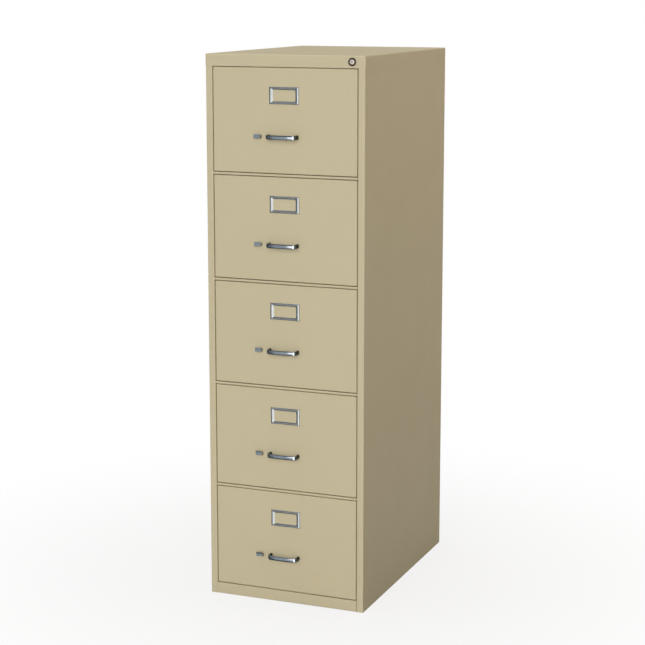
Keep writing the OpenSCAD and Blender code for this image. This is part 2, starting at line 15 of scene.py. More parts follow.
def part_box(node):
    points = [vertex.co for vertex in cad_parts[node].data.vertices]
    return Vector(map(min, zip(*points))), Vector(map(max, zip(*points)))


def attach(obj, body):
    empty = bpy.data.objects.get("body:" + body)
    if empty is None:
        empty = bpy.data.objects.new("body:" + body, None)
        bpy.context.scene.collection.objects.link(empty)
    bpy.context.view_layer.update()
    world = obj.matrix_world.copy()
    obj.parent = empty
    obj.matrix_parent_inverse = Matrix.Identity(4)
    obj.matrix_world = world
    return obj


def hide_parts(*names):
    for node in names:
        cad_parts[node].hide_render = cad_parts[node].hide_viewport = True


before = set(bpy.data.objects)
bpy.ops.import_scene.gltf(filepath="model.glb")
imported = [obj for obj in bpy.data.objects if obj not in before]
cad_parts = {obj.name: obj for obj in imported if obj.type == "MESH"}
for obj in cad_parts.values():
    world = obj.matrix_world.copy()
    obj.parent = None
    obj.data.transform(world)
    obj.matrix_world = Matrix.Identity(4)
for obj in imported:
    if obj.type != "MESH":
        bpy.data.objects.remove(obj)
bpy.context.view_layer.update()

LOG = logging.getLogger("cabinet")
MM = 0.001
DRAWERS = 5
CATCH_HEIGHT = 14.0
LOCK_GAP = 1.5
LUG_HEIGHT = 16.0
PLATE_EDGE = 0.35
RIVET_RECESS = 0.02
FRONT_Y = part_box("drawer_1_front_panel")[0].y
SMOOTH_ANGLE = math.radians(32)

Point2 = tuple[float, float]
Colour = tuple[float, float, float]


class Axis(Enum):
    """The direction in which an outline is drawn out into a solid."""

    X = 0
    Y = 1
    Z = 2


class Slot(Enum):
    """The record's material slots."""

    PAINT = "paint"
    INNER_PAINT = "inner_paint"
    CHROME = "chrome"
    ZINC = "zinc"
    NYLON = "nylon"


class Studio(Enum):
    """The two kinds of surface in the studio."""

    FLOOR = "studio_floor"
    WORLD = "studio_world"


def srgb(red: int, green: int, blue: int) -> Colour:
    """Turns a display colour into a linear one.

    Args:
        red: Red, 0 to 255.
        green: Green, 0 to 255.
        blue: Blue, 0 to 255.

    Returns:
        The linear colour.
    """
    def channel(value: int) -> float:
        """Gives one linear channel."""
        share = value / 255
        return share / 12.92 if share <= 0.04045 else ((share + 0.055) / 1.055) ** 2.4

    return channel(red), channel(green), channel(blue)


# ---------------------------------------------------------------- finishes


class NodeBoard:
    """A small helper that adds and links shader or geometry nodes."""

    def __init__(self, tree: bpy.types.NodeTree) -> None:
        """Starts from an empty tree."""
        self.tree = tree
        tree.nodes.clear()

    def add(self, kind: str, **settings: object) -> bpy.types.Node:
        """Adds a node.

        Args:
            kind: The node's type name.
            settings: Properties to set on it.

        Returns:
            The new node.
        """
        node = self.tree.nodes.new(kind)
        for name, value in settings.items():
            setattr(node, name, value)
        return node

    def link(self, source: bpy.types.NodeSocket, target: bpy.types.NodeSocket) -> None:
        """Joins two sockets."""
        self.tree.links.new(source, target)

    def noise(
        self, scale: float, detail: float, stretch: Sequence[float] = (1, 1, 1)
    ) -> bpy.types.NodeSocket:
        """Adds a noise that reads Object coordinates.

        Args:
            scale: Features in a metre.
            detail: Octaves.
            stretch: How the pattern is scaled along X, Y and Z.

        Returns:
            The noise's factor socket.
        """
        where = self.add("ShaderNodeTexCoord")
        mapping = self.add("ShaderNodeMapping")
        mapping.inputs["Scale"].default_value = stretch
        texture = self.add("ShaderNodeTexNoise")
        texture.inputs["Scale"].default_value = scale
        texture.inputs["Detail"].default_value = detail
        self.link(where.outputs["Object"], mapping.inputs["Vector"])
        self.link(mapping.outputs["Vector"], texture.inputs["Vector"])
        return texture.outputs["Fac"]

    def ramp(self, value: bpy.types.NodeSocket, low: float, high: float) -> bpy.types.NodeSocket:
        """Maps a 0 to 1 value onto a range.

        Args:
            value: The socket to map.
            low: What 0.3 becomes.
            high: What 0.7 becomes.

        Returns:
            The mapped socket.
        """
        mapped = self.add("ShaderNodeMapRange")
        mapped.inputs["From Min"].default_value = 0.3
        mapped.inputs["From Max"].default_value = 0.7
        mapped.inputs["To Min"].default_value = low
        mapped.inputs["To Max"].default_value = high
        self.link(value, mapped.inputs["Value"])
        return mapped.outputs["Result"]

    def blend(self, value: bpy.types.NodeSocket, first: Colour, second: Colour) -> bpy.types.NodeSocket:
        """Mixes two colours by a 0 to 1 value.

        Args:
            value: The mix.
            first: The colour at 0.
            second: The colour at 1.

        Returns:
            The mixed colour's socket.
        """
        mix = self.add("ShaderNodeMix", data_type="RGBA")
        mix.inputs["A"].default_value = (*first, 1)
        mix.inputs["B"].default_value = (*second, 1)
        self.link(value, mix.inputs["Factor"])
        return mix.outputs["Result"]

    def bump(self, height: bpy.types.NodeSocket, strength: float, depth: float) -> bpy.types.NodeSocket:
        """Turns a height into a bumped normal.

        Args:
            height: The height socket.
            strength: How much of it shows.
            depth: The height of a full step, in metres.

        Returns:
            The normal socket.
        """
        node = self.add("ShaderNodeBump")
        node.inputs["Strength"].default_value = strength
        node.inputs["Distance"].default_value = depth
        self.link(height, node.inputs["Height"])
        return node.outputs["Normal"]


@dataclass(frozen=True)
class Finish:
    """What every finish has: a name, the record's slot and a procedural material."""

    name: str
    slot: Slot

    def material(self) -> bpy.types.Material:
        """Builds the material once and returns it."""
        made = bpy.data.materials.get(self.name)
        if made is None:
            made = bpy.data.materials.new(self.name)
            made.use_nodes = True
            board = NodeBoard(made.node_tree)
            shader = board.add("ShaderNodeBsdfPrincipled")
            output = board.add("ShaderNodeOutputMaterial")
            board.link(shader.outputs["BSDF"], output.inputs["Surface"])
            self.shade(board, shader)
        return made

    def shade(self, board: NodeBoard, shader: bpy.types.Node) -> None:
        """Fills in the shader. Each finish does this in its own way."""
        raise NotImplementedError


@dataclass(frozen=True)
class BakedEnamel(Finish):
    """Baked enamel on steel: a satin coat with a fine orange peel and faint drifts of tone."""

    colour: Colour = (0.5, 0.5, 0.5)
    shade_colour: Colour = (0.45, 0.45, 0.45)
    gloss: float = 0.4

    def shade(self, board: NodeBoard, shader: bpy.types.Node) -> None:
        """Drifts the colour and roughness, and adds the peel.

        Args:
            board: The material's nodes.
            shader: Its principled shader.
        """
        drift = board.ramp(board.noise(2.2, 3), 0, 1)
        board.link(board.blend(drift, self.colour, self.shade_colour), shader.inputs["Base Color"])
        satin = board.ramp(board.noise(9, 4), self.gloss - 0.04, self.gloss + 0.05)
        board.link(satin, shader.inputs["Roughness"])
        board.link(board.bump(board.noise(520, 2), 0.10, 0.0002), shader.inputs["Normal"])
        shader.inputs["Coat Weight"].default_value = 0.12
        shader.inputs["Coat Roughness"].default_value = 0.22


@dataclass(frozen=True)
class Plated(Finish):
    """Bright or dull plating on metal, with faint polishing marks."""

    colour: Colour = (0.8, 0.8, 0.8)
    tarnish: Colour = (0.7, 0.7, 0.7)
    roughness: float = 0.1
    grain: Sequence[float] = (1, 1, 1)
    grain_depth: float = 0.00002
    metallic: float = 1.0

    def shade(self, board: NodeBoard, shader: bpy.types.Node) -> None:
        """Drifts the colour and roughness, and adds the polishing marks.

        Args:
            board: The material's nodes.
            shader: Its principled shader.
        """
        shader.inputs["Metallic"].default_value = self.metallic
        marks = board.noise(260, 4, self.grain)
        board.link(self.tone(board), shader.inputs["Base Color"])
        board.link(board.ramp(marks, self.roughness * 0.8, self.roughness * 1.35), shader.inputs["Roughness"])
        board.link(board.bump(marks, 0.15, self.grain_depth), shader.inputs["Normal"])

    def tone(self, board: NodeBoard) -> bpy.types.NodeSocket:
        """Clouds the plating with faint tarnish and returns the colour's socket."""
        clouds = board.ramp(board.noise(24, 3), 0, 1)
        return board.blend(clouds, self.colour, self.tarnish)


@dataclass(frozen=True)
class PaintedDarkReflectionPlate(Plated):
    """Bright plating with a painted dark reflection that darkens it towards the front that the piece stands
    on.
    """

    # The near-black colour below is a painted dark reflection, not a real smoked finish, laid on the plating
    # near the front.
    painted_dark_reflection: Colour = (0.02, 0.024, 0.028)
    painted_dark_end: float = 0.0215
    painted_dark_start: float = 0.0175

    def tone(self, board: NodeBoard) -> bpy.types.NodeSocket:
        """Paints a dark reflection on the plating close to the front and returns the colour's socket."""
        where = board.add("ShaderNodeTexCoord")
        parts = board.add("ShaderNodeSeparateXYZ")
        board.link(where.outputs["Object"], parts.inputs["Vector"])
        depth = board.add("ShaderNodeMapRange", interpolation_type="SMOOTHSTEP")
        depth.inputs["From Min"].default_value = FRONT_Y - self.painted_dark_end
        depth.inputs["From Max"].default_value = FRONT_Y - self.painted_dark_start
        board.link(parts.outputs["Y"], depth.inputs["Value"])
        mix = board.add("ShaderNodeMix", data_type="RGBA")
        mix.inputs["B"].default_value = (*self.painted_dark_reflection, 1)
        board.link(super().tone(board), mix.inputs["A"])
        board.link(depth.outputs["Result"], mix.inputs["Factor"])
        return mix.outputs["Result"]


@dataclass(frozen=True)
class Moulded(Finish):
    """Moulded nylon or rubber with a fine spark-eroded texture."""

    colour: Colour = (0.02, 0.02, 0.02)

    def shade(self, board: NodeBoard, shader: bpy.types.Node) -> None:
        """Sets the colour and the moulded texture.

        Args:
            board: The material's nodes.
            shader: Its principled shader.
        """
        grains = board.noise(900, 2)
        lighter = tuple(c * 1.6 for c in self.colour)
        board.link(board.blend(grains, self.colour, lighter), shader.inputs["Base Color"])
        board.link(board.ramp(grains, 0.5, 0.68), shader.inputs["Roughness"])
        board.link(board.bump(grains, 0.3, 0.0001), shader.inputs["Normal"])


ENAMEL = BakedEnamel(
    "putty_enamel", Slot.PAINT, colour=(0.520, 0.455, 0.300), shade_colour=(0.505, 0.442, 0.290), gloss=0.44
)
INNER_ENAMEL = BakedEnamel(
    "putty_enamel_inside", Slot.INNER_PAINT, colour=srgb(190, 180, 150), shade_colour=srgb(184, 174, 145),
    gloss=0.5
)
CHROME = Plated(
    "bright_chrome", Slot.CHROME, colour=(0.66, 0.70, 0.73), tarnish=(0.58, 0.62, 0.66), roughness=0.11
)
# The pull's chrome has a painted dark reflection on its legs and the ends of its bends near the drawer front.
PULL_CHROME = PaintedDarkReflectionPlate(
    "chrome_with_painted_dark_reflection", Slot.CHROME, colour=(0.68, 0.72, 0.75), tarnish=(0.60, 0.64, 0.68), roughness=0.10
)
NICKEL = Plated(
    "satin_nickel", Slot.CHROME, colour=(0.60, 0.63, 0.63), tarnish=(0.52, 0.55, 0.56), roughness=0.20,
    metallic=0.84
)
ZINC = Plated(
    "zinc_plate", Slot.ZINC, colour=(0.60, 0.62, 0.64), tarnish=(0.50, 0.52, 0.53), roughness=0.36,
    grain=(1, 0.08, 1), grain_depth=0.00005
)
PLUG_ZINC = Plated(
    "lock_plug_nickel", Slot.ZINC, colour=(0.86, 0.77, 0.71), tarnish=(0.78, 0.70, 0.65), roughness=0.28,
    metallic=0.45
)
BRONZE = Plated(
    "dark_bronze", Slot.CHROME, colour=(0.16, 0.125, 0.095), tarnish=(0.12, 0.09, 0.07), roughness=0.34
)
# Near-black for the sheet inside the keyway, which paints the shade there.
KEYWAY_DARK = Moulded("keyway_shadow", Slot.NYLON, colour=(0.008, 0.008, 0.009))
NYLON = Moulded("black_nylon", Slot.NYLON, colour=(0.015, 0.015, 0.016))


# ---------------------------------------------------------------- outlines


@dataclass(frozen=True)
class Span:
    """A node's box, in millimetres, with Y measured back from the plane of the fronts."""

    low: Vector
    high: Vector

    @classmethod
    def of(cls, node: str) -> "Span":
        """Measures a node."""
        low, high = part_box(node)
        shift = Vector((0, FRONT_Y, 0))
        return cls((low - shift) / MM, (high - shift) / MM)

    @property
    def middle(self) -> Vector:
        """The box's centre."""
        return (self.low + self.high) / 2

    @property
    def size(self) -> Vector:
        """The box's size."""
        return self.high - self.low


def rounded_path(points: Sequence[Point2], radius: float, steps: int = 5) -> list[Vector]:
    """Rounds the bends of an open line.

    Args:
        points: The line's corners.
        radius: The radius of each bend.
        steps: How many straight steps make a bend.

    Returns:
        The line with an arc at each bend.
    """
    corners = [Vector(p) for p in points]
    path = [corners[0]]
    for before, corner, after in zip(corners, corners[1:], corners[2:]):
        to_before = (before - corner).normalized()
        to_after = (after - corner).normalized()
        half = to_before.angle(to_after) / 2
        reach = radius / math.tan(half)
        centre = corner + (to_before + to_after).normalized() * (radius / math.sin(half))
        start = corner + to_before * reach - centre
        end = corner + to_after * reach - centre
        first = math.atan2(start.y, start.x)
        turn = (math.atan2(end.y, end.x) - first + 3 * math.pi) % (2 * math.pi) - math.pi
        for i in range(steps + 1):
            angle = first + turn * i / steps
            path.append(centre + radius * Vector((math.cos(angle), math.sin(angle))))
    path.append(corners[-1])
    return path


def bent_sheet(points: Sequence[Point2], thickness: float, radius: float, steps: int = 5) -> list[Point2]:
    """Gives the closed section of a bent sheet.

    Args:
        points: The corners of the outer face. The metal lies on the left of the way along them.
        thickness: The sheet's thickness.
        radius: The radius of the bends on that face.
        steps: How many straight steps make a bend.

    Returns:
        The section's outline.
    """
    outer = rounded_path(points, radius, steps)
    inner = []
    for i, point in enumerate(outer):
        before = (point - outer[max(i - 1, 0)]).normalized()
        after = (outer[min(i + 1, len(outer) - 1)] - point).normalized()
        way = (before + after).normalized()
        reference = after if after.length else before
        share = max(way.dot(reference), 0.5)
        inner.append(point + Vector((-way.y, way.x)) * (thickness / share))
    return [tuple(p) for p in outer] + [tuple(p) for p in reversed(inner)]


# ---------------------------------------------------------------- solids


class Solid:
    """Meshes under construction, in millimetres, with Y measured back from the plane of the fronts."""

    def __init__(self) -> None:
        """Starts empty."""
        self.bm = bmesh.new()

    def prism(self, outline: Sequence[Point2], axis: Axis, low: float, high: float) -> "Solid":
        """Draws an outline out along an axis.

        Args:
            outline: The closed outline, over the two other axes in X, Y, Z order.
            axis: The direction of drawing.
            low: Where it starts.
            high: Where it ends.

        Returns:
            This solid.
        """
        def place(point: Point2, level: float) -> Vector:
            """Puts an outline point in space."""
            values = list(point)
            values.insert(axis.value, level)
            return Vector(values)

        bottom = [self.bm.verts.new(place(p, low)) for p in outline]
        top = [self.bm.verts.new(place(p, high)) for p in outline]
        made = [self.bm.faces.new(list(reversed(bottom))), self.bm.faces.new(top)]
        for i in range(len(outline)):
            j = (i + 1) % len(outline)
            made.append(self.bm.faces.new((bottom[i], bottom[j], top[j], top[i])))
        bmesh.ops.recalc_face_normals(self.bm, faces=made)
        return self

    def box(self, low: Sequence[float], high: Sequence[float], edge: float = 0.0, steps: int = 2) -> "Solid":
        """Adds a block with softened edges.

        Args:
            low: Its lowest corner.
            high: Its highest corner.
            edge: The radius of its edges.
            steps: How many steps round an edge.

        Returns:
            This solid.
        """
        low, high = Vector(low), Vector(high)
        made = bmesh.ops.create_cube(self.bm, size=1)["verts"]
        for vert in made:
            vert.co = Vector(low[i] if vert.co[i] < 0 else high[i] for i in range(3))
        if edge:
            edges = list({e for v in made for e in v.link_edges})
            self.bevel(edges, edge, steps)
        return self

    def bevel(self, edges: Sequence[bmesh.types.BMEdge], radius: float, steps: int) -> None:
        """Rounds edges off.

        Args:
            edges: The edges.
            radius: The radius.
            steps: How many steps round an edge.
        """
        bmesh.ops.bevel(
            self.bm, geom=edges, offset=radius, segments=steps, affect="EDGES", profile=0.5,
            clamp_overlap=True
        )

    def lathe(
        self, profile: Sequence[Point2], centre: Sequence[float], axis: Axis = Axis.Y, ring: bool = False,
        steps: int = 48
    ) -> "Solid":
        """Turns a profile round an axis.

        Args:
            profile: (radius, distance along the axis) pairs.
            centre: Where the distance is zero.
            axis: The axis's direction.
            ring: Whether the profile closes on itself, which leaves a hole along the axis.
            steps: How many steps round.

        Returns:
            This solid.
        """
        centre = Vector(centre)
        rings, made = [], []
        for radius, along in profile:
            count = 1 if radius < 1e-6 else steps
            loop = []
            for i in range(count):
                angle = 2 * math.pi * i / steps
                offset = [radius * math.cos(angle), radius * math.sin(angle)]
                offset.insert(axis.value, along)
                loop.append(self.bm.verts.new(centre + Vector(offset)))
            rings.append(loop)
        pairs = list(zip(rings, rings[1:]))
        if ring:
            pairs.append((rings[-1], rings[0]))
        for loop, after in pairs:
            for i in range(steps):
                j = (i + 1) % steps
                corners = [loop[i % len(loop)], loop[j % len(loop)]]
                corners += [after[j % len(after)], after[i % len(after)]]
                unique = list(dict.fromkeys(corners))
                if len(unique) > 2:
                    made.append(self.bm.faces.new(unique))
        bmesh.ops.recalc_face_normals(self.bm, faces=made)
        return self

    def turned(self, angle: float, centre: Sequence[float]) -> "Solid":
        """Turns all that is built so far.

        Args:
            angle: The turn about the Y axis, in radians.
            centre: A point on that axis.

        Returns:
            This solid.
        """
        turn = Matrix.Rotation(angle, 4, "Y")
        space = Matrix.Translation(-Vector(centre))
        bmesh.ops.transform(self.bm, matrix=turn, verts=self.bm.verts, space=space)
        return self

    def rounded(self, radius: float, steps: int, where: Callable[[Vector, Vector], bool]) -> "Solid":
        """Rounds chosen edges.

        Args:
            radius: The radius.
            steps: How many steps round an edge.
            where: Says, from an edge's ends, whether it is rounded.

        Returns:
            This solid.
        """
        chosen = [e for e in self.bm.edges if where(e.verts[0].co, e.verts[1].co)]
        self.bevel(chosen, radius, steps)
        return self

    def loft(self, rings: Sequence[Sequence[Vector]], closed: bool = False) -> "Solid":
        """Joins rings of equal count into a skin.

        Args:
            rings: The rings, in order.
            closed: Whether the last ring joins the first.

        Returns:
            This solid.
        """
        loops = [[self.bm.verts.new(p) for p in ring] for ring in rings]
        pairs = list(zip(loops, loops[1:]))
        if closed:
            pairs.append((loops[-1], loops[0]))
        made = []
        for loop, after in pairs:
            for i in range(len(loop)):
                j = (i + 1) % len(loop)
                made.append(self.bm.faces.new((loop[i], loop[j], after[j], after[i])))
        if not closed:
            made.append(self.bm.faces.new(list(reversed(loops[0]))))
            made.append(self.bm.faces.new(loops[-1]))
        bmesh.ops.recalc_face_normals(self.bm, faces=made)
        return self

    def mesh(self, other: bpy.types.Mesh) -> "Solid":
        """Adds a finished mesh and returns this solid."""
        self.bm.from_mesh(other)
        return self

    def mirrored(self) -> "Solid":
        """Adds the same on the other side of the centre plane and returns this solid."""
        twin = self.bm.copy()
        bmesh.ops.scale(twin, vec=(-1, 1, 1), verts=twin.verts)
        bmesh.ops.reverse_faces(twin, faces=twin.faces)
        data = bpy.data.meshes.new("twin")
        twin.to_mesh(data)
        twin.free()
        self.bm.from_mesh(data)
        bpy.data.meshes.remove(data)
        return self

    def raw(self, name: str) -> bpy.types.Object:
        """Turns the solid into an object without a finish and returns it."""
        data = bpy.data.meshes.new(name)
        self.bm.to_mesh(data)
        self.bm.free()
        made = bpy.data.objects.new(name, data)
        bpy.context.scene.collection.objects.link(made)
        return made

    def cut(self, cutters: "Solid") -> "Solid":
        """Takes cutters out of the solid.

        Args:
            cutters: What is taken away.

        Returns:
            A new solid.
        """
        body, tool = self.raw("body"), cutters.raw("tool")
        modifier = body.modifiers.new("cut", "BOOLEAN")
        modifier.operation = "DIFFERENCE"
        modifier.solver = "EXACT"
        modifier.object = tool
        result = Solid().mesh(baked(body))
        for used in (body, tool):
            bpy.data.objects.remove(used)
        return result

    def hollowed(self, thickness: float, open_face: Callable[[bmesh.types.BMFace], bool]) -> "Solid":
        """Turns a block into a pan with a wall on its inside.

        Args:
            thickness: The wall's thickness.
            open_face: Says which faces are left out.

        Returns:
            A new solid.
        """
        gone = [f for f in self.bm.faces if open_face(f)]
        bmesh.ops.delete(self.bm, geom=gone, context="FACES")
        shell = self.raw("shell")
        modifier = shell.modifiers.new("wall", "SOLIDIFY")
        modifier.thickness = thickness
        modifier.offset = -1
        modifier.use_even_offset = True
        result = Solid().mesh(baked(shell))
        bpy.data.objects.remove(shell)
        return result

    def piece(self, name: str, body: str, finish: Finish, replaces: Iterable[str] = ()) -> bpy.types.Object:
        """Finishes the solid as a visible piece.

        Args:
            name: The piece's name.
            body: The body that it rides on.
            finish: Its finish.
            replaces: The CAD nodes that it stands for.

        Returns:
            The finished object.
        """
        place = Matrix.Translation((0, FRONT_Y, 0)) @ Matrix.Scale(MM, 4)
        self.bm.transform(place)
        made = self.raw(name)
        dress(made, finish)
        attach(made, body)
        for node in replaces:
            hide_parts(node)
        LOG.info("%s rides on %s with %d faces", name, body, len(made.data.polygons))
        return made


def baked(source: bpy.types.Object) -> bpy.types.Mesh:
    """Gives the plain mesh of an object with its modifiers applied."""
    bpy.context.view_layer.update()
    depsgraph = bpy.context.evaluated_depsgraph_get()
    return bpy.data.meshes.new_from_object(source.evaluated_get(depsgraph))


def dress(piece: bpy.types.Object, finish: Finish) -> None:
    """Gives a new mesh its finish and smooth, crisp-edged shading.

    Args:
        piece: The object to dress.
        finish: Its finish.
    """
    data = piece.data
    data.materials.clear()
    data.materials.append(finish.material())
    for face in data.polygons:
        face.material_index = 0
    data.shade_smooth()
    data.set_sharp_from_angle(angle=SMOOTH_ANGLE)
    normals = piece.modifiers.new("even_normals", "WEIGHTED_NORMAL")
    normals.keep_sharp = True


def dress_cad(node: str, finish: Finish, edge: float = 0.0) -> None:
    """Gives a CAD node that stays visible its finish and softened edges.

    Args:
        node: The node's name.
        finish: Its finish.
        edge: The radius of its edges.
    """
    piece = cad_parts[node]
    for index in range(max(len(piece.material_slots), 1)):
        if not piece.material_slots:
            piece.data.materials.append(finish.material())
        piece.material_slots[index].material = finish.material()
    if edge:
        weld = piece.modifiers.new("joined", "WELD")
        weld.merge_threshold = 0.00001
        bevel = piece.modifiers.new("soft_edges", "BEVEL")
        bevel.width = edge
        bevel.segments = 2
        bevel.limit_method = "ANGLE"
        bevel.angle_limit = math.radians(40)
        bevel.harden_normals = False
    LOG.info("%s keeps its CAD mesh", node)


# ---------------------------------------------------------------- repeated details


class DetailTree:
    """A geometry tree with named inputs, built once and used by many pieces."""

    def __init__(self, name: str, inputs: Sequence[tuple[str, str]]) -> None:
        """Makes the tree's interface.

        Args:
            name: The tree's name.
            inputs: (name, socket type) pairs.
        """
        self.tree = bpy.data.node_groups.new(name, "GeometryNodeTree")
        self.board = NodeBoard(self.tree)
        self.sockets = {}
        interface = self.tree.interface
        interface.new_socket(name="Geometry", in_out="INPUT", socket_type="NodeSocketGeometry")
        for label, kind in inputs:
            self.sockets[label] = interface.new_socket(name=label, in_out="INPUT", socket_type=kind)
        interface.new_socket(name="Geometry", in_out="OUTPUT", socket_type="NodeSocketGeometry")
        self.inputs = self.board.add("NodeGroupInput").outputs

    def finish(self, geometry: bpy.types.NodeSocket) -> None:
        """Ends the tree: realizes the instances and sets the material.

        Args:
            geometry: The last geometry socket.
        """
        board = self.board
        realize = board.add("GeometryNodeRealizeInstances")
        material = board.add("GeometryNodeSetMaterial")
        output = board.add("NodeGroupOutput")
        board.link(geometry, realize.inputs["Geometry"])
        board.link(realize.outputs["Geometry"], material.inputs["Geometry"])
        board.link(self.inputs["Finish"], material.inputs["Material"])
        board.link(material.outputs["Geometry"], output.inputs["Geometry"])

    def run(self, start: "Solid", **values: object) -> bpy.types.Mesh:
        """Runs the tree on a solid.

        Args:
            start: The geometry that goes in.
            values: The inputs, with underscores for spaces.

        Returns:
            The plain mesh that comes out.
        """
        holder = start.raw("detail")
        modifier = holder.modifiers.new("detail", "NODES")
        modifier.node_group = self.tree
        for label, value in values.items():
            modifier[self.sockets[label.replace("_", " ")].identifier] = value
        result = baked(holder)
        holder.modifiers.remove(modifier)
        bpy.data.objects.remove(holder)
        return result


class FastenerTree(DetailTree):
    """A straight row of domed heads with a cross recess, such as screws or rivets."""

    def __init__(self) -> None:
        """Builds the tree."""
        super().__init__("fastener_row", [
            ("Count", "NodeSocketInt"), ("Start", "NodeSocketVector"), ("Step", "NodeSocketVector"),
            ("Turn", "NodeSocketVector"), ("Radius", "NodeSocketFloat"), ("Dome", "NodeSocketFloat"),
            ("Recess", "NodeSocketFloat"), ("Finish", "NodeSocketMaterial"),
        ])
        board, inputs = self.board, self.inputs
        head = board.add("GeometryNodeMeshUVSphere")
        head.inputs["Segments"].default_value = 20
        head.inputs["Rings"].default_value = 10
        board.link(inputs["Radius"], head.inputs["Radius"])
        share = board.add("ShaderNodeMath", operation="DIVIDE")
        board.link(inputs["Dome"], share.inputs[0])
        board.link(inputs["Radius"], share.inputs[1])
        squash = board.add("ShaderNodeCombineXYZ")
        squash.inputs["X"].default_value = 1
        squash.inputs["Y"].default_value = 1
        board.link(share.outputs["Value"], squash.inputs["Z"])
        flat = board.add("GeometryNodeTransform")
        board.link(head.outputs["Mesh"], flat.inputs["Geometry"])
        board.link(squash.outputs["Vector"], flat.inputs["Scale"])
        carve = board.add("GeometryNodeMeshBoolean", operation="DIFFERENCE")
        board.link(flat.outputs["Geometry"], carve.inputs["Mesh 1"])
        for long_axis in ("X", "Y"):
            slot = board.add("GeometryNodeMeshCube")
            size = board.add("ShaderNodeCombineXYZ")
            thin = board.add("ShaderNodeMath", operation="MULTIPLY")
            thin.inputs[1].default_value = 0.22
            board.link(inputs["Recess"], thin.inputs[0])
            for axis in ("X", "Y"):
                source = inputs["Recess"] if axis == long_axis else thin.outputs["Value"]
                board.link(source, size.inputs[axis])
            board.link(inputs["Dome"], size.inputs["Z"])
            board.link(size.outputs["Vector"], slot.inputs["Size"])
            lift = board.add("GeometryNodeTransform")
            raise_by = board.add("ShaderNodeCombineXYZ")
            board.link(inputs["Dome"], raise_by.inputs["Z"])
            board.link(raise_by.outputs["Vector"], lift.inputs["Translation"])
            board.link(slot.outputs["Mesh"], lift.inputs["Geometry"])
            board.link(lift.outputs["Geometry"], carve.inputs["Mesh 2"])
        line = board.add("GeometryNodeMeshLine", mode="OFFSET")
        board.link(inputs["Count"], line.inputs["Count"])
        board.link(inputs["Start"], line.inputs["Start Location"])
        board.link(inputs["Step"], line.inputs["Offset"])
        place = board.add("GeometryNodeInstanceOnPoints")
        board.link(line.outputs["Mesh"], place.inputs["Points"])
        board.link(carve.outputs["Mesh"], place.inputs["Instance"])
        board.link(inputs["Turn"], place.inputs["Rotation"])
        self.finish(place.outputs["Instances"])


class SlotTree(DetailTree):
    """Punches a straight row of slots through the geometry that goes in."""

    def __init__(self) -> None:
        """Builds the tree."""
        super().__init__("punched_slots", [
            ("Count", "NodeSocketInt"), ("Start", "NodeSocketVector"), ("Step", "NodeSocketVector"),
            ("Size", "NodeSocketVector"), ("Finish", "NodeSocketMaterial"),
        ])
        board, inputs = self.board, self.inputs
        punch = board.add("GeometryNodeMeshCube")
        board.link(inputs["Size"], punch.inputs["Size"])
        line = board.add("GeometryNodeMeshLine", mode="OFFSET")
        board.link(inputs["Count"], line.inputs["Count"])
        board.link(inputs["Start"], line.inputs["Start Location"])
        board.link(inputs["Step"], line.inputs["Offset"])
        place = board.add("GeometryNodeInstanceOnPoints")
        board.link(line.outputs["Mesh"], place.inputs["Points"])
        board.link(punch.outputs["Mesh"], place.inputs["Instance"])
        punches = board.add("GeometryNodeRealizeInstances")
        board.link(place.outputs["Instances"], punches.inputs["Geometry"])
        carve = board.add("GeometryNodeMeshBoolean", operation="DIFFERENCE")
        board.link(inputs["Geometry"], carve.inputs["Mesh 1"])
        board.link(punches.outputs["Geometry"], carve.inputs["Mesh 2"])
        self.finish(carve.outputs["Mesh"])


class BeadTree(DetailTree):
    """A row of pressed stiffening beads, each with tapered ends, on a flat sheet."""

    def __init__(self) -> None:
        """Builds the tree."""
        super().__init__("pressed_beads", [
            ("Count", "NodeSocketInt"), ("Start", "NodeSocketVector"), ("Run", "NodeSocketVector"),
            ("Step", "NodeSocketVector"), ("Radius", "NodeSocketFloat"), ("Finish", "NodeSocketMaterial"),
        ])
        board, inputs = self.board, self.inputs
        line = board.add("GeometryNodeCurvePrimitiveLine")
        board.link(inputs["Run"], line.inputs["End"])
        fine = board.add("GeometryNodeResampleCurve")
        fine.inputs["Count"].default_value = 40
        board.link(line.outputs["Curve"], fine.inputs["Curve"])
        along = board.add("GeometryNodeSplineParameter")
        taper = board.add("ShaderNodeFloatCurve")
        curve = taper.mapping.curves[0]
        curve.points[0].location = (0, 0.02)
        curve.points[1].location = (1, 0.02)
        for place_at in ((0.03, 0.8), (0.06, 1), (0.94, 1), (0.97, 0.8)):
            curve.points.new(*place_at)
        taper.mapping.update()
        board.link(along.outputs["Factor"], taper.inputs["Value"])
        ring = board.add("GeometryNodeCurvePrimitiveCircle")
        ring.inputs["Resolution"].default_value = 16
        board.link(inputs["Radius"], ring.inputs["Radius"])
        bead = board.add("GeometryNodeCurveToMesh")
        bead.inputs["Fill Caps"].default_value = True
        shaped = board.add("GeometryNodeSetCurveRadius")
        board.link(fine.outputs["Curve"], shaped.inputs["Curve"])
        board.link(taper.outputs["Value"], shaped.inputs["Radius"])
        board.link(shaped.outputs["Curve"], bead.inputs["Curve"])
        board.link(ring.outputs["Curve"], bead.inputs["Profile Curve"])
        if "Scale" in bead.inputs:
            board.link(taper.outputs["Value"], bead.inputs["Scale"])
        row = board.add("GeometryNodeMeshLine", mode="OFFSET")
        board.link(inputs["Count"], row.inputs["Count"])
        board.link(inputs["Start"], row.inputs["Start Location"])
        board.link(inputs["Step"], row.inputs["Offset"])
        place = board.add("GeometryNodeInstanceOnPoints")
        board.link(row.outputs["Mesh"], place.inputs["Points"])
        board.link(bead.outputs["Mesh"], place.inputs["Instance"])
        self.finish(place.outputs["Instances"])


class Facing(Enum):
    """The rotations that point a domed head outwards."""

    BACK = (math.radians(-90), 0, 0)
    RIGHT = (0, math.radians(90), 0)
    LEFT = (0, math.radians(-90), 0)


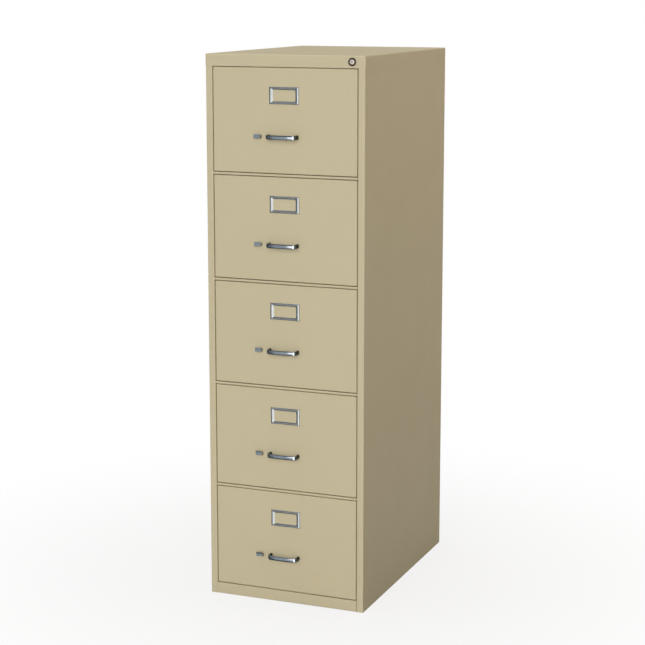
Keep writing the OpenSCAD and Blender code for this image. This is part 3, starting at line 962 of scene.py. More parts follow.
@dataclass
class Details:
    """The three detail trees, shared by all sub-assemblies."""

    fasteners: FastenerTree = field(default_factory=FastenerTree)
    slots: SlotTree = field(default_factory=SlotTree)
    beads: BeadTree = field(default_factory=BeadTree)

    def screws(
        self, count: int, start: Sequence[float], step: Sequence[float], facing: Facing,
        radius: float, dome: float, recess: float, finish: Finish
    ) -> bpy.types.Mesh:
        """Makes a row of domed heads.

        Args:
            count: How many.
            start: The first one's place.
            step: From one to the next.
            facing: Where their domes point.
            radius: The head's radius.
            dome: The head's height.
            recess: The cross recess's size, or nearly zero for a rivet.
            finish: Their finish.

        Returns:
            The row's mesh.
        """
        return self.fasteners.run(
            Solid(), Count=count, Start=start, Step=step, Turn=facing.value, Radius=radius, Dome=dome,
            Recess=recess, Finish=finish.material()
        )

    def punched(
        self, start: Solid, count: int, first: Sequence[float], step: Sequence[float], size: Sequence[float],
        finish: Finish
    ) -> Solid:
        """Punches a row of slots through a solid.

        Args:
            start: The solid.
            count: How many slots.
            first: The first one's centre.
            step: From one to the next.
            size: A slot's size.
            finish: The solid's finish.

        Returns:
            The punched solid.
        """
        return Solid().mesh(self.slots.run(
            start, Count=count, Start=first, Step=step, Size=size, Finish=finish.material()
        ))

    def bead_row(
        self, count: int, start: Sequence[float], run: Sequence[float], step: Sequence[float], radius: float,
        finish: Finish
    ) -> bpy.types.Mesh:
        """Makes a row of pressed beads.

        Args:
            count: How many.
            start: Where the first one starts.
            run: From a bead's start to its end.
            step: From one bead to the next.
            radius: A bead's radius.
            finish: Their finish.

        Returns:
            The row's mesh.
        """
        return self.beads.run(
            Solid(), Count=count, Start=start, Run=run, Step=step, Radius=radius, Finish=finish.material()
        )


# ---------------------------------------------------------------- sub-assemblies


def channel_section(web: float, tip: float, middle: float, half: float, sheet: float) -> list[Point2]:
    """Gives the section of a folded slide channel.

    Args:
        web: X of the web's outer face.
        tip: X that the flanges reach to.
        middle: Z of the channel's middle.
        half: Half of its height.
        sheet: Its sheet thickness.

    Returns:
        The section over X and Z.
    """
    first = -half if tip < web else half
    points = [(tip, middle + first), (web, middle + first), (web, middle - first), (tip, middle - first)]
    return bent_sheet(points, sheet, 2.2, 4)


@dataclass
class Shell:
    """The case: side panels with folded stiles, a pan-shaped cap, the back, the rails and the base."""

    details: Details
    sheet: float = 1.2
    fold: float = 2.8
    cap_fold: float = 3.4
    cap_sheet: float = 1.0
    return_depth: float = 22.0
    rail_depth: float = 18.0
    back_flange: float = 18.0
    slot_size: tuple[float, float, float] = (6.0, 4.4, 11.2)
    bead_radius: float = 2.1
    bead_length: float = 300.0
    screw_radius: float = 4.5
    screw_dome: float = 2.0
    screw_rows: int = 6
    screw_recess: float = 4.2
    lock_hole_radius: float = 9.1
    bead_margin: float = 150.0
    cross_rail_height: float = 6.5
    glide_plate_drop: float = 8.0

    def __post_init__(self) -> None:
        """Measures the case's nodes."""
        self.side = Span.of("right_side_panel")
        self.cap = Span.of("top_cap")
        self.back = Span.of("back_panel")
        self.rails = Span.of("cross_rails")
        self.skirt_z = self.cap.low.z
        self.open_x = self.side.low.x
        self.wall_x = self.back.high.x

    def build(self) -> None:
        """Builds and dresses the case."""
        self.side_panels()
        self.top_cap()
        self.back_panel()
        self.cross_rails()
        self.base()

    def side_section(self) -> list[Point2]:
        """Gives the right side's folded section over X and Y."""
        face = self.side.high.x
        points = [(self.open_x, self.return_depth), (self.open_x, 0), (face, 0), (face, self.side.high.y)]
        return bent_sheet(points, self.sheet, self.fold, 6)

    def right_side(self) -> Solid:
        """Builds the right side panel, up to the cap's skirt and on inside the cap."""
        face, rear = self.side.high.x, self.side.high.y
        edge, inner, outer = self.wall_x - self.back_flange, self.back.low.y - self.sheet, self.back.low.y
        flange = [(edge, inner), (self.wall_x, inner), (self.wall_x, outer), (edge, outer)]
        panel = Solid().prism(self.side_section(), Axis.Z, 0, self.skirt_z)
        panel.prism(flange, Axis.Z, Span.of("base_frame").high.z, self.skirt_z)
        upper = (self.wall_x, self.fold, self.skirt_z), (face, rear - self.cap_sheet, self.side.high.z)
        return panel.box(*upper)

    def side_panels(self) -> None:
        """Builds both side panels. The left one has the strike slots."""
        self.right_side().piece("right_side_shell", "case", ENAMEL, ["right_side_panel"])
        left = self.right_side()
        bmesh.ops.scale(left.bm, vec=(-1, 1, 1), verts=left.bm.verts)
        bmesh.ops.reverse_faces(left.bm, faces=left.bm.faces)
        first = Span.of("drawer_1_latch").middle
        second = Span.of("drawer_2_latch").middle
        start = (-self.open_x - self.sheet / 2, 6.0, first.z)
        step = (0, 0, second.z - first.z)
        left = self.details.punched(left, DRAWERS, start, step, self.slot_size, ENAMEL)
        left.piece("left_side_shell", "case", ENAMEL, ["left_side_panel"])

    def top_cap(self) -> None:
        """Builds the cap: a pan with rounded folds, a lock hole and a return along the header."""
        low, high = self.cap.low, self.cap.high
        pan = Solid().box(low, high)
        bottom = low.z + 0.01
        pan.rounded(self.cap_fold, 5, lambda a, b: a.z > bottom or b.z > bottom)
        pan = pan.hollowed(self.cap_sheet, lambda face: face.normal.z < -0.9)
        bezel, radius = Span.of("lock_housing").middle, self.lock_hole_radius
        hole = Solid().lathe([(0, -2), (radius, -2), (radius, 3), (0, 3)], (bezel.x, 0, bezel.z))
        pan = pan.cut(hole)
        inner = self.cap_sheet
        section = [(inner, self.skirt_z), (self.rail_depth, self.skirt_z)]
        section += [(self.rail_depth, self.skirt_z + inner), (inner, self.skirt_z + inner)]
        pan.prism(section, Axis.X, -self.open_x, self.open_x)
        pan.piece("cap_pan", "case", ENAMEL, ["top_cap"])

    def back_panel(self) -> None:
        """Builds the back with one pressed bead behind each drawer, and its screws."""
        low, high = self.back.low, self.back.high
        sheet = Solid().box(low, high, 0.3)
        pitch = (self.skirt_z - 2 * self.bead_margin) / (DRAWERS - 1)
        start = (-self.bead_length / 2, high.y, self.bead_margin)
        beads = self.details.bead_row(
            DRAWERS, start, (self.bead_length, 0, 0), (0, 0, pitch), self.bead_radius, ENAMEL
        )
        sheet.mesh(beads).piece("back_sheet", "case", ENAMEL, ["back_panel"])
        screws = Span.of("case_screws")
        rows = Solid()
        step = (0, 0, (screws.size.z - 2 * self.screw_radius) / (self.screw_rows - 1))
        for x in (screws.low.x + self.screw_radius, screws.high.x - self.screw_radius):
            start = (x, high.y, screws.low.z + self.screw_radius)
            rows.mesh(self.details.screws(
                self.screw_rows, start, step, Facing.BACK, self.screw_radius, self.screw_dome,
                self.screw_recess, ZINC
            ))
        rows.piece("back_screws", "case", ZINC, ["case_screws"])

    def rail_section(self, low: float, high: float, fold: float) -> list[Point2]:
        """Gives a front rail's section over Y and Z."""
        points = [(self.rail_depth, high), (0, high), (0, low), (self.rail_depth, low)]
        return bent_sheet(points, self.sheet, fold, 4)

    def cross_rails(self) -> None:
        """Builds the rails between the drawers, with folded edges."""
        rails, height = Solid(), self.cross_rail_height
        pitch = (self.rails.size.z - height) / (DRAWERS - 2)
        for i in range(DRAWERS - 1):
            low = self.rails.low.z + i * pitch
            rails.prism(self.rail_section(low, low + height, 1.5), Axis.X, -self.open_x, self.open_x)
        rails.piece("folded_cross_rails", "case", ENAMEL, ["cross_rails"])

    def base(self) -> None:
        """Builds the base: a front rail, side and rear angles and the corner plates for the glides."""
        low, high = Span.of("base_frame").low, Span.of("base_frame").high
        rear, wall = self.back.low.y, self.wall_x
        frame_part = Solid().prism(self.rail_section(low.z, high.z, 2.4), Axis.X, -self.open_x, self.open_x)
        flange, plate, start = 20.0, 60.0, self.return_depth + 1.6
        side = [(wall - flange, 0), (wall, 0), (wall, high.z), (wall - self.sheet, high.z)]
        side += [(wall - self.sheet, self.sheet), (wall - flange, self.sheet)]
        right = Solid().prism(side, Axis.Y, start, rear)
        glides = Span.of("leveling_glides")
        plate_z = self.plate_level()
        for near, far in ((start, plate), (rear - plate, rear)):
            right.box((wall - plate, near, plate_z), (wall - self.sheet, far, plate_z + self.sheet), 0.3)
        right.mirrored()
        frame_part.mesh(baked_once(right))
        back = [(rear, 0), (rear, high.z), (rear - self.sheet, high.z)]
        back += [(rear - self.sheet, self.sheet), (rear - flange, self.sheet), (rear - flange, 0)]
        frame_part.prism(back, Axis.X, -wall + self.sheet, wall - self.sheet)
        frame_part.piece("base_rails", "case", ENAMEL, ["base_frame"])
        self.glides(glides, plate_z)

    def plate_level(self) -> float:
        """Gives the height of the corner plates, which the glides' nuts touch from below."""
        return Span.of("leveling_glides").high.z - self.glide_plate_drop

    def glides(self, span: Span, plate_z: float) -> None:
        """Builds the levelling glides: a domed foot, a threaded stud and a nut.

        Args:
            span: The glides' box.
            plate_z: The height of the corner plates.
        """
        foot_r, stud_r, nut_r, neck, turn = 12.0, 4.0, 7.5, 5, 0.75
        glides = Solid()
        turns = int((span.high.z - neck) / turn) + 1
        thread = [(stud_r - 0.5 * (i % 2), neck + turn * i) for i in range(turns)]
        profile = [(0, 0), (foot_r - 1.5, 0), (foot_r, 1.2), (foot_r, 2.6), (foot_r - 1.2, 4.0)]
        profile += [(stud_r, neck)] + thread + [(0, thread[-1][1])]
        nut = [(stud_r - 0.3, 0.2), (nut_r - 0.8, 0), (nut_r, 0.7), (nut_r, 4.3), (nut_r - 0.8, 5)]
        nut.append((stud_r - 0.3, 4.8))
        for x in (span.low.x + foot_r, span.high.x - foot_r):
            for y in (span.low.y + foot_r, span.high.y - foot_r):
                glides.lathe(profile, (x, y, 0), Axis.Z, steps=32)
                glides.lathe(nut, (x, y, plate_z - 5), Axis.Z, ring=True, steps=6)
        glides.piece("threaded_glides", "case", ZINC, ["leveling_glides"])


def baked_once(solid: Solid) -> bpy.types.Mesh:
    """Gives a solid's mesh and frees the solid."""
    data = bpy.data.meshes.new("part")
    solid.bm.to_mesh(data)
    solid.bm.free()
    return data


@dataclass
class SlideGear:
    """The posts and fixed channels in the case, and each drawer's cradle and runners."""

    details: Details
    sheet: float = 1.4
    start: float = 29.0
    post_width: float = 40.0
    post_depth: float = 18.6
    post_slots: int = 56
    post_slot_size: tuple[float, float, float] = (6, 5, 12)
    channel_width: float = 10.4
    channel_half: float = 23.0
    cradle_half: float = 21.25
    cradle_tip: float = 198.0
    runner_half: float = 19.5
    runner_web: float = 196.0
    runner_tip: float = 207.5
    runner_length: float = 618.1
    catch_span: tuple[float, float] = (26.6, 54.6)

    def build(self) -> None:
        """Builds and dresses the posts and channels."""
        self.posts()
        self.case_channels()
        for n in range(1, DRAWERS + 1):
            self.cradle(n)
            self.runners(n)

    def middle_z(self, n: int) -> float:
        """Gives the height of the middle of a drawer's slides."""
        return Span.of(f"drawer_{n}_cradle").high.z - self.cradle_half

    def posts(self) -> None:
        """Builds the four posts, each punched with a column of slots."""
        span = Span.of("slide_posts")
        outer, inner = span.high.x, span.high.x - self.post_depth
        posts = Solid()
        for near in (span.low.y, span.high.y - self.post_width):
            far = near + self.post_width
            points = [(outer, near), (inner, near), (inner, far), (outer, far)]
            section = bent_sheet(list(reversed(points)), self.sheet, 1.8, 3)
            post = Solid().prism(section, Axis.Z, span.low.z, span.high.z)
            pitch = span.size.z / self.post_slots
            first = (inner, near + self.post_width / 2, span.low.z + pitch / 2)
            post = self.details.punched(
                post, self.post_slots, first, (0, 0, pitch), self.post_slot_size, ZINC
            )
            posts.mesh(baked_once(post))
        posts.mirrored().piece("slotted_posts", "case", ZINC, ["slide_posts"])

    def case_channels(self) -> None:
        """Builds the fixed channels with their stops and rivets."""
        span = Span.of("case_slides")
        face, tip, web = span.high.x, span.high.x - self.channel_width, span.high.x - self.sheet
        rear, stop = span.high.y - PLATE_EDGE - self.sheet, span.high.y
        channels = Solid()
        for n in range(1, DRAWERS + 1):
            middle = self.middle_z(n)
            low, high = middle - self.channel_half, middle + self.channel_half
            section = channel_section(face, tip, middle, self.channel_half, self.sheet)
            channels.prism(section, Axis.Y, self.start, rear)
            channels.box((tip, rear + PLATE_EDGE, low), (face, stop, high), 0.3)
            channels.box((web, rear - 1, low), (face, stop - 0.3, high))
            channels.mesh(self.details.screws(
                count=6, start=(web, self.start + 36, middle), step=(0, 106, 0), facing=Facing.LEFT,
                radius=4, dome=0.3, recess=RIVET_RECESS, finish=ZINC
            ))
        channels.mirrored().piece("fixed_channels", "case", ZINC, ["case_slides"])

    def cradle(self, n: int) -> None:
        """Builds a drawer's middle channels and the tie below it.

        Args:
            n: The drawer's number.
        """
        span = Span.of(f"drawer_{n}_cradle")
        half, tip, outer = self.cradle_half, self.cradle_tip, self.cradle_tip + self.sheet
        middle, low = self.middle_z(n), span.low.z
        rear = self.start + self.runner_length
        tie_front, tie_rear = rear - 40, rear - 20
        section = channel_section(span.high.x, tip, middle, half, self.sheet)
        gear = Solid().prism(section, Axis.Y, self.start, rear)
        gear.box((tip, tie_front, low), (outer, tie_rear, middle - half + self.sheet), 0.3)
        gear.mirrored()
        gear.box((-outer, tie_front, low), (outer, tie_rear, low + self.sheet), 0.3)
        gear.piece(f"drawer_{n}_middle_channels", f"drawer_{n}_cradle", ZINC, [f"drawer_{n}_cradle"])

    def runners(self, n: int) -> None:
        """Builds a drawer's runners and its lock catch.

        Args:
            n: The drawer's number.
        """
        web, middle = self.runner_web, self.middle_z(n)
        catch_top = Span.of(f"drawer_{n}_runners").high.z
        section = channel_section(web, self.runner_tip, middle, self.runner_half, self.sheet)
        gear = Solid().prism(section, Axis.Y, self.start, self.start + self.runner_length)
        gear.mesh(self.details.screws(
            count=5, start=(web + self.sheet, self.start + 60, middle), step=(0, 120, 0),
            facing=Facing.RIGHT, radius=4.5, dome=1.2, recess=RIVET_RECESS, finish=ZINC
        )).mirrored()
        front, rear = self.catch_span
        catch = bent_sheet([(web, rear), (web, front), (web + 12, front)], 2.0, 2.2, 4)
        gear.prism(catch, Axis.Z, catch_top - CATCH_HEIGHT, catch_top)
        gear.piece(f"drawer_{n}_runner_pair", f"drawer_{n}", ZINC, [f"drawer_{n}_runners"])


@dataclass
class Lock:
    """The key lock in the header, its cam and the bar that blocks every drawer."""

    lug_tip: float = 199.0
    arm_height: float = 10.8
    pin_slot_half: float = 2.4
    pin_slot_end: float = 206.15

    def build(self) -> None:
        """Builds and dresses the lock."""
        housing = Span.of("lock_housing")
        centre = (housing.middle.x, 0, housing.middle.z)
        self.housing(centre)
        self.plug(centre)
        self.bar()
        dress_cad("lock_bar_guides", NYLON, 0.3 * MM)

    def housing(self, centre: Sequence[float]) -> None:
        """Builds the bezel, the threaded barrel and the nut.

        Args:
            centre: The lock's axis in the plane of the fronts.
        """
        bore = 6.56
        profile = [(bore, -2.4), (bore + 0.6, -3.1), (bore + 1.5, -3.5), (9.6, -3.5), (10.5, -3.1)]
        profile += [(10.9, -2.2), (11, -1), (11, 0), (9, 0), (9, 1)]
        profile += [(9 - 0.35 * (i % 2), 1 + 0.6 * i) for i in range(1, 32)]
        profile += [(9, 20), (bore, 20)]
        body = Solid().lathe(profile, centre, ring=True)
        nut = [(8.9, 1), (11.4, 1), (12, 1.6), (12, 3.4), (11.4, 4), (8.9, 4)]
        body.lathe(nut, centre, ring=True, steps=6)
        body.piece("lock_bezel", "case", BRONZE, ["lock_housing"])

    def plug(self, centre: Sequence[float]) -> None:
        """Builds the plug with its keyway, the cam and the cam's pin, and a dark sheet of painted shade
        inside the keyway.

        Args:
            centre: The lock's axis in the plane of the fronts.
        """
        span = Span.of("lock_plug")
        x, _, z = centre
        profile = [(0, -3), (5.4, -3), (6.1, -2.8), (6.5, -2.2), (6.5, 22.4), (0, 22.4)]
        plug = Solid().lathe(profile, centre)
        slot = [(-1.1, -2.9), (1.1, -2.9), (1.1, 2.9), (-1.1, 2.9), (-1.1, 0.9), (-1.8, 0.9), (-1.8, -0.9)]
        slot.append((-1.1, -0.9))
        plug = plug.cut(Solid().prism([(x + a, z + b) for a, b in slot], Axis.Y, -5, 3))
        cam = Solid().box((x, 20.4, z - 3), (x + 9, 22.4, z + 3), 0.3)
        pin_end = span.high.y
        pin = [(0, 20.4), (3, 20.4), (3, 22.4), (2, 22.4), (2, pin_end - 0.4), (1.6, pin_end), (0, pin_end)]
        cam.lathe(pin, (x + 9, 0, z), steps=24)
        cam.turned(math.radians(45), (x, 0, z))
        plug.mesh(baked_once(cam))
        plug.piece("lock_core", "lock_plug", PLUG_ZINC, ["lock_plug"])
        # A near-black sheet just inside the keyway is painted shade: it darkens the slot, which is only in
        # shadow.
        dark = Solid().box((x - 1.05, -2.4, z - 2.85), (x + 1.05, -2.0, z + 2.85), 0.1)
        dark.piece("keyway_painted_shade", "lock_plug", KEYWAY_DARK)

    def bar(self) -> None:
        """Builds the bar, and the arm and lugs welded to it."""
        span = Span.of("lock_bar")
        blocking = Solid().box(span.low, span.high, PLATE_EDGE)
        blocking.piece("blocking_bar", "lock_bar", ZINC, ["lock_bar"])
        lugs = Span.of("lock_bar_lugs")
        parts = Solid()
        for n in range(1, DRAWERS + 1):
            low = Span.of(f"drawer_{n}_runners").high.z - CATCH_HEIGHT - LOCK_GAP - LUG_HEIGHT
            parts.box(
                (self.lug_tip, span.low.y, low), (span.low.x, span.high.y, low + LUG_HEIGHT), PLATE_EDGE
            )
        near, far, top = span.low.y, span.high.y, lugs.high.z
        arm = Solid().box((lugs.low.x, near, top - self.arm_height), (span.low.x, far, top), PLATE_EDGE)
        middle, half = top - self.arm_height / 2, self.pin_slot_half
        slot_low = (lugs.low.x + 3, near - 2, middle - half)
        slot = Solid().box(slot_low, (self.pin_slot_end, far + 2, middle + half))
        parts.mesh(baked_once(arm.cut(slot)))
        parts.piece("blocking_lugs", "lock_bar", ZINC, ["lock_bar_lugs"])


@dataclass
class Drawer:
    """One drawer: front pan, liner, tray, pull, label frame, thumb latch and follower."""

    number: int
    details: Details
    sheet: float = 1.2
    front_fold: float = 3.0
    front_depth: float = 20.0
    side_x: float = 196.0
    body_rear: float = 647.1
    hem_width: float = 6.0
    hem_height: float = 9.0
    back_drop: float = 40.0
    handle_middle: float = -3.0
    handle_half: float = 45.0
    handle_bar_half: float = 43.5
    handle_screw_x: float = 41.0
    handle_height: float = 12.5
    handle_out: float = 26.0
    handle_bow: float = 1.6
    label_out: float = 2.6
    prong_x: float = 39.5
    stem_x: tuple[float, float] = (-78.05, -70.05)
    stem_slot_x: tuple[float, float] = (-78.45, -62.15)
    stem_slot_half: float = 4.4
    button_x: tuple[float, float] = (-86.95, -69.25)
    button_half: float = 6.6
    bar_reach: float = 209.4
    bridge_width: float = 12.0
    web_height: float = 3.0
    track_height: float = 5.0

    def __post_init__(self) -> None:
        """Measures the drawer's nodes."""
        self.owner = f"drawer_{self.number}"
        self.front = Span.of(self.node("front_panel"))
        self.tray = Span.of(self.node("body"))
        self.pull = Span.of(self.node("handle"))
        self.label = Span.of(self.node("label_holder"))
        self.latch_span = Span.of(self.node("latch"))
        self.pusher = Span.of(self.node("follower"))
        self.handle_z = self.pull.middle.z
        self.latch_z = self.latch_span.middle.z
        self.floor_top = self.tray.low.z + self.sheet

    def node(self, part: str) -> str:
        """Names one of this drawer's nodes."""
        return f"{self.owner}_{part}"

    def build(self) -> None:
        """Builds and dresses the drawer."""
        self.front_pan()
        self.liner()
        self.tray_body()
        self.handle()
        self.label_frame()
        self.latch()
        self.follower()

    def front_pan(self) -> None:
        """Builds the front: a pan with rounded folds, its holes and the latch bar's bridges."""
        low, high = self.front.low, self.front.high
        pan = Solid().box(low, (high.x, self.front_depth, high.z))
        rear = self.front_depth - 0.01
        pan.rounded(self.front_fold, 5, lambda a, b: a.y < rear or b.y < rear)
        pan = pan.hollowed(self.sheet, lambda face: face.normal.y > 0.9)
        slot_low, slot_high = self.latch_z - self.stem_slot_half, self.latch_z + self.stem_slot_half
        left, right = self.stem_slot_x
        holes = Solid().box((left, -3, slot_low), (right, 2.4, slot_high))
        holes.box((low.x - 1, 4.6, slot_low), (low.x + 2.4, 7.4, slot_high))
        for side in (-1, 1):
            centre = (self.handle_middle + side * self.handle_screw_x, 0, self.handle_z)
            holes.lathe([(0, -2), (2.1, -2), (2.1, 2.4), (0, 2.4)], centre, steps=20)
            x, z = side * self.prong_x, self.label.middle.z
            holes.box((x - 1.2, -2, z - 2.2), (x + 1.2, 2.4, z + 2.2))
        pan = pan.cut(holes)
        stem = self.stem_x[0]
        for share in (0.25, 0.8):
            pan.mesh(self.bridge(stem - share * (self.bar_reach + stem) - self.bridge_width))
        pan.piece(self.node("front_pan"), self.owner, ENAMEL, [self.node("front_panel")])

    def bridge(self, x: float) -> bpy.types.Mesh:
        """Builds one bridge that the latch bar slides through.

        Args:
            x: The bridge's near side.

        Returns:
            Its mesh.
        """
        half, top = 6.4, 7.4
        z = self.latch_z
        section = [(self.sheet, z - half - 1.2), (top + 1.2, z - half - 1.2), (top + 1.2, z + half + 1.2)]
        section += [(self.sheet, z + half + 1.2)]
        strap = bent_sheet(section, 1.2, 1.6, 3)
        return baked_once(Solid().prism(strap, Axis.X, x, x + self.bridge_width))

    def liner(self) -> None:
        """Builds the liner that closes the front, with a row of screws along its top and bottom."""
        span = Span.of(self.node("front_liner"))
        plate = Solid().box(span.low, span.high, PLATE_EDGE)
        plate.piece(self.node("liner_plate"), self.owner, INNER_ENAMEL, [self.node("front_liner")])
        screws = Solid()
        for z in (span.high.z - 12, self.tray.low.z - 6.5):
            start = (span.low.x + 24, span.high.y, z)
            step = ((span.size.x - 48) / 4, 0, 0)
            screws.mesh(self.details.screws(
                count=5, start=start, step=step, facing=Facing.BACK, radius=3.6, dome=1.5, recess=3.2,
                finish=ZINC
            ))
        screws.piece(self.node("liner_screws"), self.owner, ZINC)

    def tray_body(self) -> None:
        """Builds the tray: folded sides with hems, floor, back, track, floor beads and rivets."""
        top, floor, side = self.tray.high.z, self.tray.low.z, self.side_x
        lip, hem = side - self.hem_width, self.hem_height
        points = [(-lip, top - hem), (-lip, top), (-side, top), (-side, floor)]
        points += [(-x, z) for x, z in reversed(points)]
        tray = Solid().prism(bent_sheet(points, self.sheet, 1.9, 4), Axis.Y, self.front_depth, self.body_rear)
        back_top = top - self.back_drop
        back = [(self.body_rear - 9, back_top), (self.body_rear, back_top), (self.body_rear, floor + 1.5)]
        tray.prism(bent_sheet(list(reversed(back)), self.sheet, 1.9, 4), Axis.X, -side + 1.2, side - 1.2)
        for sign in (-1, 1):
            flange = sorted((sign * (side - 13), sign * (side - 1.2)))
            near = (flange[0], self.front_depth, floor + 1.2)
            tray.box(near, (flange[1], self.front_depth + self.sheet, top - 1.2), 0.3)
        z = self.floor_top
        web_top, track_top, track_end = z + self.web_height, z + self.track_height, self.body_rear - 1.2
        tray.box((-4, self.front_depth, z), (4, track_end, web_top))
        tray.box((-7, self.front_depth, web_top), (7, track_end, track_top), 0.5)
        along = (0, self.body_rear - 110, 0)
        for x in (-150, -100, -50, 50, 100, 150):
            first = (x, self.front_depth + 40, z - 0.1)
            tray.mesh(self.details.bead_row(1, first, along, (0, 0, 0), 1.0, INNER_ENAMEL))
        tray.piece(self.node("tray"), self.owner, INNER_ENAMEL, [self.node("body")])
        rivets = Solid()
        for sign in (-1, 1):
            start = (sign * (side - 7), self.front_depth + self.sheet, floor + 30)
            step = (0, 0, (top - floor - 60) / 3)
            rivets.mesh(self.details.screws(
                count=4, start=start, step=step, facing=Facing.BACK, radius=3.0, dome=1.1,
                recess=RIVET_RECESS, finish=ZINC
            ))
        rivets.piece(self.node("tray_rivets"), self.owner, ZINC)

    def handle(self) -> None:
        """Builds the bow pull: one swept bar with full feet, and the two screws behind it."""
        out, foot, bar_half, bend = self.handle_out, self.handle_half, self.handle_bar_half, 9.0
        leg, thick, around, squared = 8.0, 4.0, 28, 0.72
        outer = rounded_path([(-foot, 0), (-bar_half, -out), (bar_half, -out), (foot, 0)], bend, 12)
        inner_points = [(-(foot - leg), 0), (-(bar_half - thick), thick - out)]
        inner_points += [(bar_half - thick, thick - out), (foot - leg, 0)]
        inner = rounded_path(inner_points, bend - thick, 12)
        rings = []
        for near, far in zip(outer, inner):
            middle = (near + far) / 2
            half = (near - far) / 2
            ring = []
            for i in range(around):
                angle = 2 * math.pi * i / around
                across, up = math.cos(angle), math.sin(angle)
                across = math.copysign(abs(across) ** squared, across)
                up = math.copysign(abs(up) ** squared, up)
                at = middle + half * across
                level = self.handle_z + up * self.handle_height / 2
                ring.append(Vector((at.x + self.handle_middle, at.y, level)))
            rings.append(ring)
        rings = self.finer(rings)
        straight = bar_half - bend
        for point in itertools.chain.from_iterable(rings):
            along = min(1.0, ((point.x - self.handle_middle) / straight) ** 2)
            point.y -= self.handle_bow * along * point.y / out
        pull = Solid().loft(rings)
        # Its finish paints a dark reflection on the legs close to the drawer front.
        pull.piece(self.node("bow_pull"), self.owner, PULL_CHROME, [self.node("handle")])
        screws = Solid()
        outline = [(0, -6), (1.9, -6), (1.9, 1.2), (4.5, 1.2), (4.5, 2.2), (3.4, 3.1), (0, 3.2)]
        for side in (-1, 1):
            centre = (self.handle_middle + side * self.handle_screw_x, 0, self.handle_z)
            screws.lathe(outline, centre, steps=24)
        screws.piece(self.node("pull_screws"), self.owner, ZINC)

    @staticmethod
    def finer(rings: list[list[Vector]]) -> list[list[Vector]]:
        """Splits long stretches between rings.

        Args:
            rings: The rings.

        Returns:
            More rings, at most 6 mm apart.
        """
        result = [rings[0]]
        for before, after in zip(rings, rings[1:]):
            count = max(1, math.ceil((after[0] - before[0]).length / 6))
            for i in range(1, count + 1):
                result.append([a.lerp(b, i / count) for a, b in zip(before, after)])
        return result

    def label_frame(self) -> None:
        """Builds the label frame: a raised bead with mitred corners, a card ledge and prongs."""
        out = self.label_out
        half_x, half_z = self.label.size.x / 2, self.label.size.z / 2
        open_x, open_z = 33.0, 15.3
        bead = [
            (0.0, 0.0), (0.0, -0.5), (0.1, -0.75), (0.16, -0.85), (0.24, -1.4), (0.34, -2.2), (0.46, -out),
            (0.62, -out), (0.78, -2.25), (0.90, -1.5), (0.97, -0.8), (1.0, -0.3), (1.0, 0.0),
        ]
        inner_turn, outer_turn, steps = 3.2, 1.3, 6
        rings = []
        for quarter, (sign_x, sign_z) in enumerate(((1, 1), (-1, 1), (-1, -1), (1, -1))):
            for step in range(steps + 1):
                angle = math.pi / 2 * (quarter + step / steps)
                turn = Vector((math.cos(angle), math.sin(angle)))
                inner = Vector((sign_x * (open_x - inner_turn), sign_z * (open_z - inner_turn)))
                inner += turn * inner_turn
                outer = Vector((sign_x * (half_x - outer_turn), sign_z * (half_z - outer_turn)))
                outer += turn * outer_turn
                ring = []
                for share, level in bead:
                    at = inner.lerp(outer, share)
                    ring.append(Vector((at.x, level, self.label.middle.z + at.y)))
                rings.append(ring)
        bezel = Solid().loft(rings, closed=True)
        for side in (-1, 1):
            x, z = side * self.prong_x, self.label.middle.z
            bezel.box((x - 1, -0.6, z - 2), (x + 1, self.label.high.y, z + 2), 0.3)
        bezel.piece(self.node("label_bezel"), self.owner, NICKEL, [self.node("label_holder")])

    def latch(self) -> None:
        """Builds the thumb button with its dished face, the stem and the latch bar."""
        z, span = self.latch_z, self.latch_span
        (left, right), half = self.button_x, self.button_half
        stem_left, stem_right = self.stem_x
        face = span.low.y
        side = [(-0.4, z - half), (-0.4, z + half), (face, z + half), (face, z - half + 3.2)]
        side.append((face + 3.6, z - half))
        button = Solid().prism(side, Axis.X, left, right)
        button.rounded(0.9, 4, lambda a, b: min(a.y, b.y) < -1)
        disc = [(0, left - 5), (42, left - 5), (42, right + 5), (0, right + 5)]
        button = button.cut(Solid().lathe(disc, (0, -49.2, z), Axis.X, steps=160))
        button.box((stem_left, -0.4, z - 4), (stem_right, 5, z + 4), 0.3)
        button.box((-200.4, 5, z - 6), (stem_right, 7, z + 6), PLATE_EDGE)
        button.box((span.low.x, 5, z - 4), (-199, 7, z + 4), PLATE_EDGE)
        button.piece(self.node("thumb_latch"), self.node("latch"), CHROME, [self.node("latch")])
        shield = Solid().box((-66.9, 1.5, z - 6), (-57, 2.0, z + 6), 0.1)
        shield.box((-58.2, 1.8, z - 6), (-57, 6.6, z + 6), 0.1)
        shield.box((-70.5, 5.4, z - 5.6), (-57, 6.6, z + 5.6), 0.1)
        shield.piece(self.node("slot_shield"), self.node("latch"), ENAMEL)

